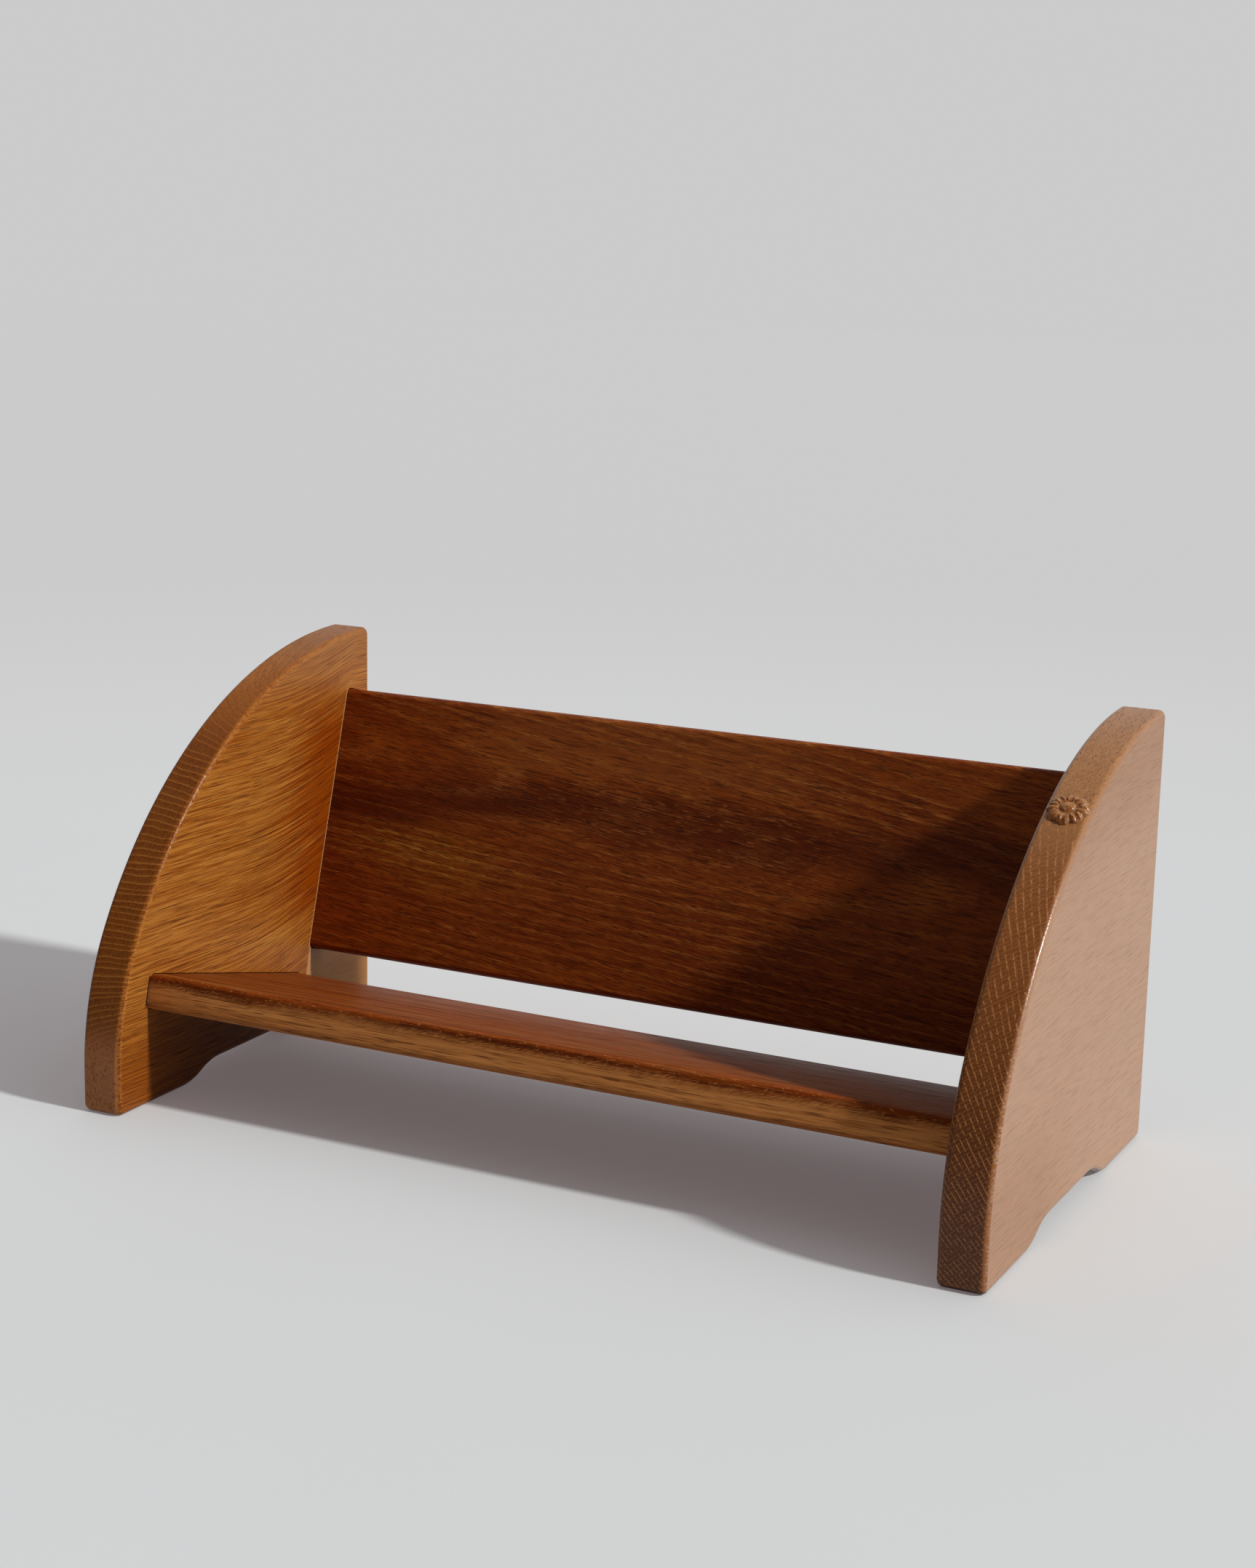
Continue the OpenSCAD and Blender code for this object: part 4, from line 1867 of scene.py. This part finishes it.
@dataclass(frozen=True)
class Studio:
    """The pale floor and room, the key light and the camera.

    Attributes:
        azimuth: The camera's place round the object, in degrees.
        elevation: How far the camera looks down, in degrees.
        roll: The camera's roll, in degrees.
        stand: The camera's place.
        lens: Its focal length in millimetres.
        sensor: Long side of its sensor in millimetres.
        key_height: The key light's height above the floor, in degrees, to the right of the object.
        key_power: The key light's strength.
        key_spread: The key light's width, in degrees.
        key_colour: The key light's colour.
        room_way: Direction in which the room grows paler.
        room_ramp: Ramp along that direction.
        room_dim: Light of the room in front of the object.
        room_pale: Light of the room behind it.
        backdrop: The room as the camera sees it.
        floor_size: Length of the floor's sides.
        floor_clouds: Pattern of the floor's two tones.
        floor_tones: The two tones.
        floor_rough: The floor's roughness.
        floor_shine: Strength of its reflections.
        floor_far: Colour of the floor far from the object.
        floor_ramp: Ramp of distance from the object, in metres.
        floor_glow: Colour that the floor shows to the camera beside its own.
        floor_glow_share: Strength of that.
    """

    azimuth: float = 26.494
    elevation: float = 12.327
    roll: float = -1.208
    stand: Point = (0.549586, -1.091690, 0.435452)
    lens: float = 60.96
    sensor: float = 36.0
    key_height: float = 37.3
    key_power: float = 3.0
    key_spread: float = 4.5
    key_colour: Colour = (1.0, 0.985, 0.96)
    room_way: Point = (0.25, 0.9, 0.25)
    room_ramp: Ramp = (-0.6, 0.9)
    room_dim: Colour = (0.11, 0.10, 0.10)
    room_pale: Colour = (0.62, 0.62, 0.63)
    backdrop: Colour = (0.602, 0.601, 0.607)
    floor_size: float = 16.0
    floor_clouds: Cloud = Cloud((4.0, 4.0, 4.0), 3.0)
    floor_tones: tuple[Colour, Colour] = ((0.535, 0.575, 0.582), (0.555, 0.595, 0.602))
    floor_rough: float = 0.9
    floor_shine: float = 0.2
    floor_far: Colour = (0.50, 0.525, 0.535)
    floor_ramp: Ramp = (0.4, 2.0)
    floor_glow: Colour = (1.0, 0.82, 0.84)
    floor_glow_share: float = 0.124

    def camera(self) -> None:
        """Sets up the photograph's camera."""
        turn, dip, roll = (math.radians(angle) for angle in (self.azimuth, self.elevation, self.roll))
        ahead = Vector((-math.sin(turn) * math.cos(dip), math.cos(turn) * math.cos(dip), -math.sin(dip)))
        level = Vector((math.cos(turn), math.sin(turn), 0))
        down = ahead.cross(level)
        right = level * math.cos(roll) + down * math.sin(roll)
        low = down * math.cos(roll) - level * math.sin(roll)
        clear_selection()
        bpy.ops.object.camera_add(location=self.stand)
        made = bpy.context.object
        made.data.lens = self.lens
        made.data.sensor_width = self.sensor
        made.data.sensor_fit = "AUTO"
        made.rotation_euler = Matrix((right, -low, -ahead)).transposed().to_euler()
        bpy.context.scene.camera = made

    def key(self) -> None:
        """Adds the key light from the right."""
        height = math.radians(self.key_height)
        toward = Vector((math.cos(height), 0, math.sin(height)))
        clear_selection()
        bpy.ops.object.light_add(type="SUN", location=toward * 2)
        made = bpy.context.object
        made.data.energy = self.key_power
        made.data.angle = math.radians(self.key_spread)
        made.data.color = self.key_colour
        made.rotation_euler = toward.to_track_quat("Z", "Y").to_euler()

    def seen(self, bench: NodeBench, *others: str) -> Socket:
        """Finds the rays that show a surface to the camera.

        Args:
            bench: The bench that gets the nodes.
            others: Outputs of Light Path that count beside the camera's own rays.

        Returns:
            1 for such a ray, 0 for one that only lights.
        """
        path = bench.node("ShaderNodeLightPath")
        made = path.outputs["Is Camera Ray"]
        for other in others:
            made = bench.math("MAXIMUM", made, path.outputs[other])
        return made

    def world(self) -> None:
        """Makes a room that is pale behind the object and dim in front of it."""
        made = bpy.data.worlds.new("pale_room")
        bpy.context.scene.world = made
        made.use_nodes = True
        bench = NodeBench(made.node_tree)
        way = bench.node("ShaderNodeTexCoord").outputs["Generated"]
        behind = bench.step(bench.dot(way, self.room_way), self.room_ramp)
        room = bench.mix(behind, self.room_dim, self.room_pale)
        light = bench.node("ShaderNodeBackground")
        shown = bench.mix(self.seen(bench, "Is Transmission Ray"), room, self.backdrop)
        bench.fill(light.inputs["Color"], shown)
        bench.surface("ShaderNodeOutputWorld", light.outputs["Background"])

    def floor_look(self) -> bpy.types.Material:
        """Makes the floor's material.

        Returns:
            A pale, dull material that shows the camera a little more light than it gives.
        """
        made = bpy.data.materials.new("pale_floor")
        made.use_nodes = True
        bench = NodeBench(made.node_tree)
        place = bench.node("ShaderNodeTexCoord").outputs["Object"]
        pale = bench.mix(self.floor_clouds.read(bench, place), *self.floor_tones)
        far = bench.step(bench.length(place), self.floor_ramp)
        shader = bench.node("ShaderNodeBsdfPrincipled")
        bench.fill(shader.inputs["Base Color"], bench.mix(far, pale, self.floor_far))
        shader.inputs["Roughness"].default_value = self.floor_rough
        shader.inputs["Specular IOR Level"].default_value = self.floor_shine
        bench.fill(shader.inputs["Emission Color"], self.floor_glow)
        seen = self.seen(bench, "Is Glossy Ray", "Is Transmission Ray")
        bench.fill(shader.inputs["Emission Strength"], bench.product(seen, self.floor_glow_share))
        bench.surface("ShaderNodeOutputMaterial", shader.outputs["BSDF"])
        return made

    def floor(self) -> None:
        """Lays the pale floor."""
        clear_selection()
        bpy.ops.mesh.primitive_plane_add(size=self.floor_size, location=(0, 0, 0))
        made = bpy.context.object
        made.name = "floor"
        made.data.materials.append(self.floor_look())

    def build(self) -> None:
        """Sets up the whole studio."""
        view = bpy.context.scene.view_settings
        view.view_transform = "Standard"
        self.camera()
        self.key()
        self.world()
        self.floor()


LEFT_OAK = LeftOak(
    name="left_end_oak",
    growth=Growth(
        along=(0, 1, -0.02), outward=(0, 0, 1), pith=(-219, 0, -260), ring=2.8, wander=3.0,
        bow=-0.56, level=370, curl=13.0, curl_run=75.0),
    summer=(0.44, 0.182, 0.032), spring=(0.32, 0.106, 0.016), patchy=(0.37, 0.127, 0.018),
    vessel=(0.10, 0.024, 0.004), fleck=(0.50, 0.22, 0.05), shade=(0.70, 0.53, 0.34),
    ends=EndGrain(
        body=(0.175, 0.047, 0.004), line=(0.40, 0.14, 0.026), ray=(0.26, 0.085, 0.016),
        line_share=0.75, ray_share=0.5, ray_gap=1.4, ray_piece=5.0, reach=370),
    pore_share=0.75, gloss=0.36, polish=0.21, shine=0.11, fine=1.4)

RIGHT_OAK = RightOak(
    name="right_end_oak",
    growth=Growth(along=(0, 1, 0), outward=(-0.53, 0, 0.85), pith=(355, 0, -130), ring=1.7, wander=1.2),
    summer=(0.42, 0.19, 0.062), spring=(0.36, 0.148, 0.043), patchy=(0.39, 0.164, 0.050),
    vessel=(0.14, 0.055, 0.022), fleck=(0.42, 0.20, 0.09), shade=(0.78, 0.73, 0.69),
    ends=EndGrain(
        body=(0.234, 0.071, 0.0122), line=(0.42, 0.165, 0.042), ray=(0.50, 0.22, 0.072),
        line_share=0.5, ray_share=0.85, ray_gap=2.0, ray_width=0.16, ray_piece=2.0, ray_stray=0.4,
        reach=200),
    ring_share=0.2, pore_share=0.8, fleck_share=0.1, patch_share=0.6, gloss=0.33, shine=0.3, relief=0.1)

SHELF_OAK = ShelfOak(
    name="shelf_oak",
    growth=Growth(along=(1, 0, 0), outward=(0, 0.5, 1), pith=(0, -60, -120), ring=4.0, wander=5.0),
    summer=(0.31, 0.077, 0.0112), spring=(0.245, 0.057, 0.0085), patchy=(0.272, 0.059, 0.0085),
    vessel=(0.08, 0.018, 0.004), fleck=(0.50, 0.18, 0.045),
    ends=EndGrain(body=(0.16, 0.05, 0.015), line=(0.28, 0.12, 0.05), ray=(0.24, 0.1, 0.04)),
    gloss=0.42, shine=0.06, relief=0.3, fine=0.7, broad=SHELF_TOP.facing)

BACK_OAK = BackOak(
    name="back_oak",
    growth=Growth(
        along=(1, 0.0274, -0.122), outward=BACK_FACE.facing, pith=(0, 116.3, 120.5),
        ring=4.5, wander=4.0),
    summer=(0.28, 0.059, 0.006), spring=(0.42, 0.117, 0.015), patchy=(0.21, 0.037, 0.004),
    vessel=(0.07, 0.012, 0.002), fleck=(0.50, 0.20, 0.05), shade=(0.57, 0.47, 0.41),
    ends=EndGrain(body=(0.12, 0.03, 0.008), line=(0.22, 0.08, 0.03), ray=(0.2, 0.07, 0.025)),
    ring_share=0.62, pore_share=0.8, fleck_share=0.38, shine=0.14, broad=BACK_FACE.facing)

DOWEL_OAK = OakFinish(
    name="dowel_oak",
    growth=Growth(along=(1, 0, 0), outward=(0, 0, 1), pith=(0, 0, -80), ring=2.5, wander=2.0),
    summer=(0.62, 0.42, 0.22), spring=(0.56, 0.36, 0.18), patchy=(0.58, 0.38, 0.19),
    vessel=(0.35, 0.2, 0.09), fleck=(0.7, 0.53, 0.33), shade=(0.85, 0.8, 0.75),
    ends=EndGrain(body=(0.5, 0.32, 0.16), line=(0.66, 0.47, 0.27), ray=(0.62, 0.44, 0.25)),
    gloss=0.6)


def dress_dowels(frame: dict[str, Any], names: Sequence[str]) -> None:
    """Gives the dowels' own solids the look of plain oak.

    Args:
        frame: The frame with its nodes.
        names: The dowels' nodes.
    """
    look = DOWEL_OAK.material()
    for name in names:
        for held in frame["nodes"][name].material_slots:
            held.material = look
        LOG.info("%s: dressed", name)


def main() -> None:
    """Builds the trough on its frame, piece by piece."""
    logging.basicConfig(level=logging.INFO, format="%(message)s")
    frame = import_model()
    Studio().build()

    ends = {side: DowelHoles(Joint.SHELF.dowels(side) + Joint.BACK.dowels(side)) for side in Side}
    shelf_holes = DowelHoles(Joint.SHELF.dowels(*Side))
    back_holes = DowelHoles(Joint.BACK.dowels(*Side))
    shelf = Board(
        node="shelf", slot="shelf_oak", width=133 * MM, thickness=17 * MM, tilt=-104.0, holes=shelf_holes)
    back = Board(
        node="back_board", slot="back_oak", width=140 * MM, thickness=16 * MM, tilt=-16.0, holes=back_holes)

    EndPanel(Side.LEFT).build((shelf, back), ends[Side.LEFT], LEFT_OAK.material())
    EndPanel(Side.RIGHT).build((shelf, back), ends[Side.RIGHT], RIGHT_OAK.material(), Rosette())
    shelf.build(SHELF_OAK.material())
    back.build(BACK_OAK.material())
    dress_dowels(frame, shelf_holes.nodes + back_holes.nodes)


if __name__ == "__main__":
    main()
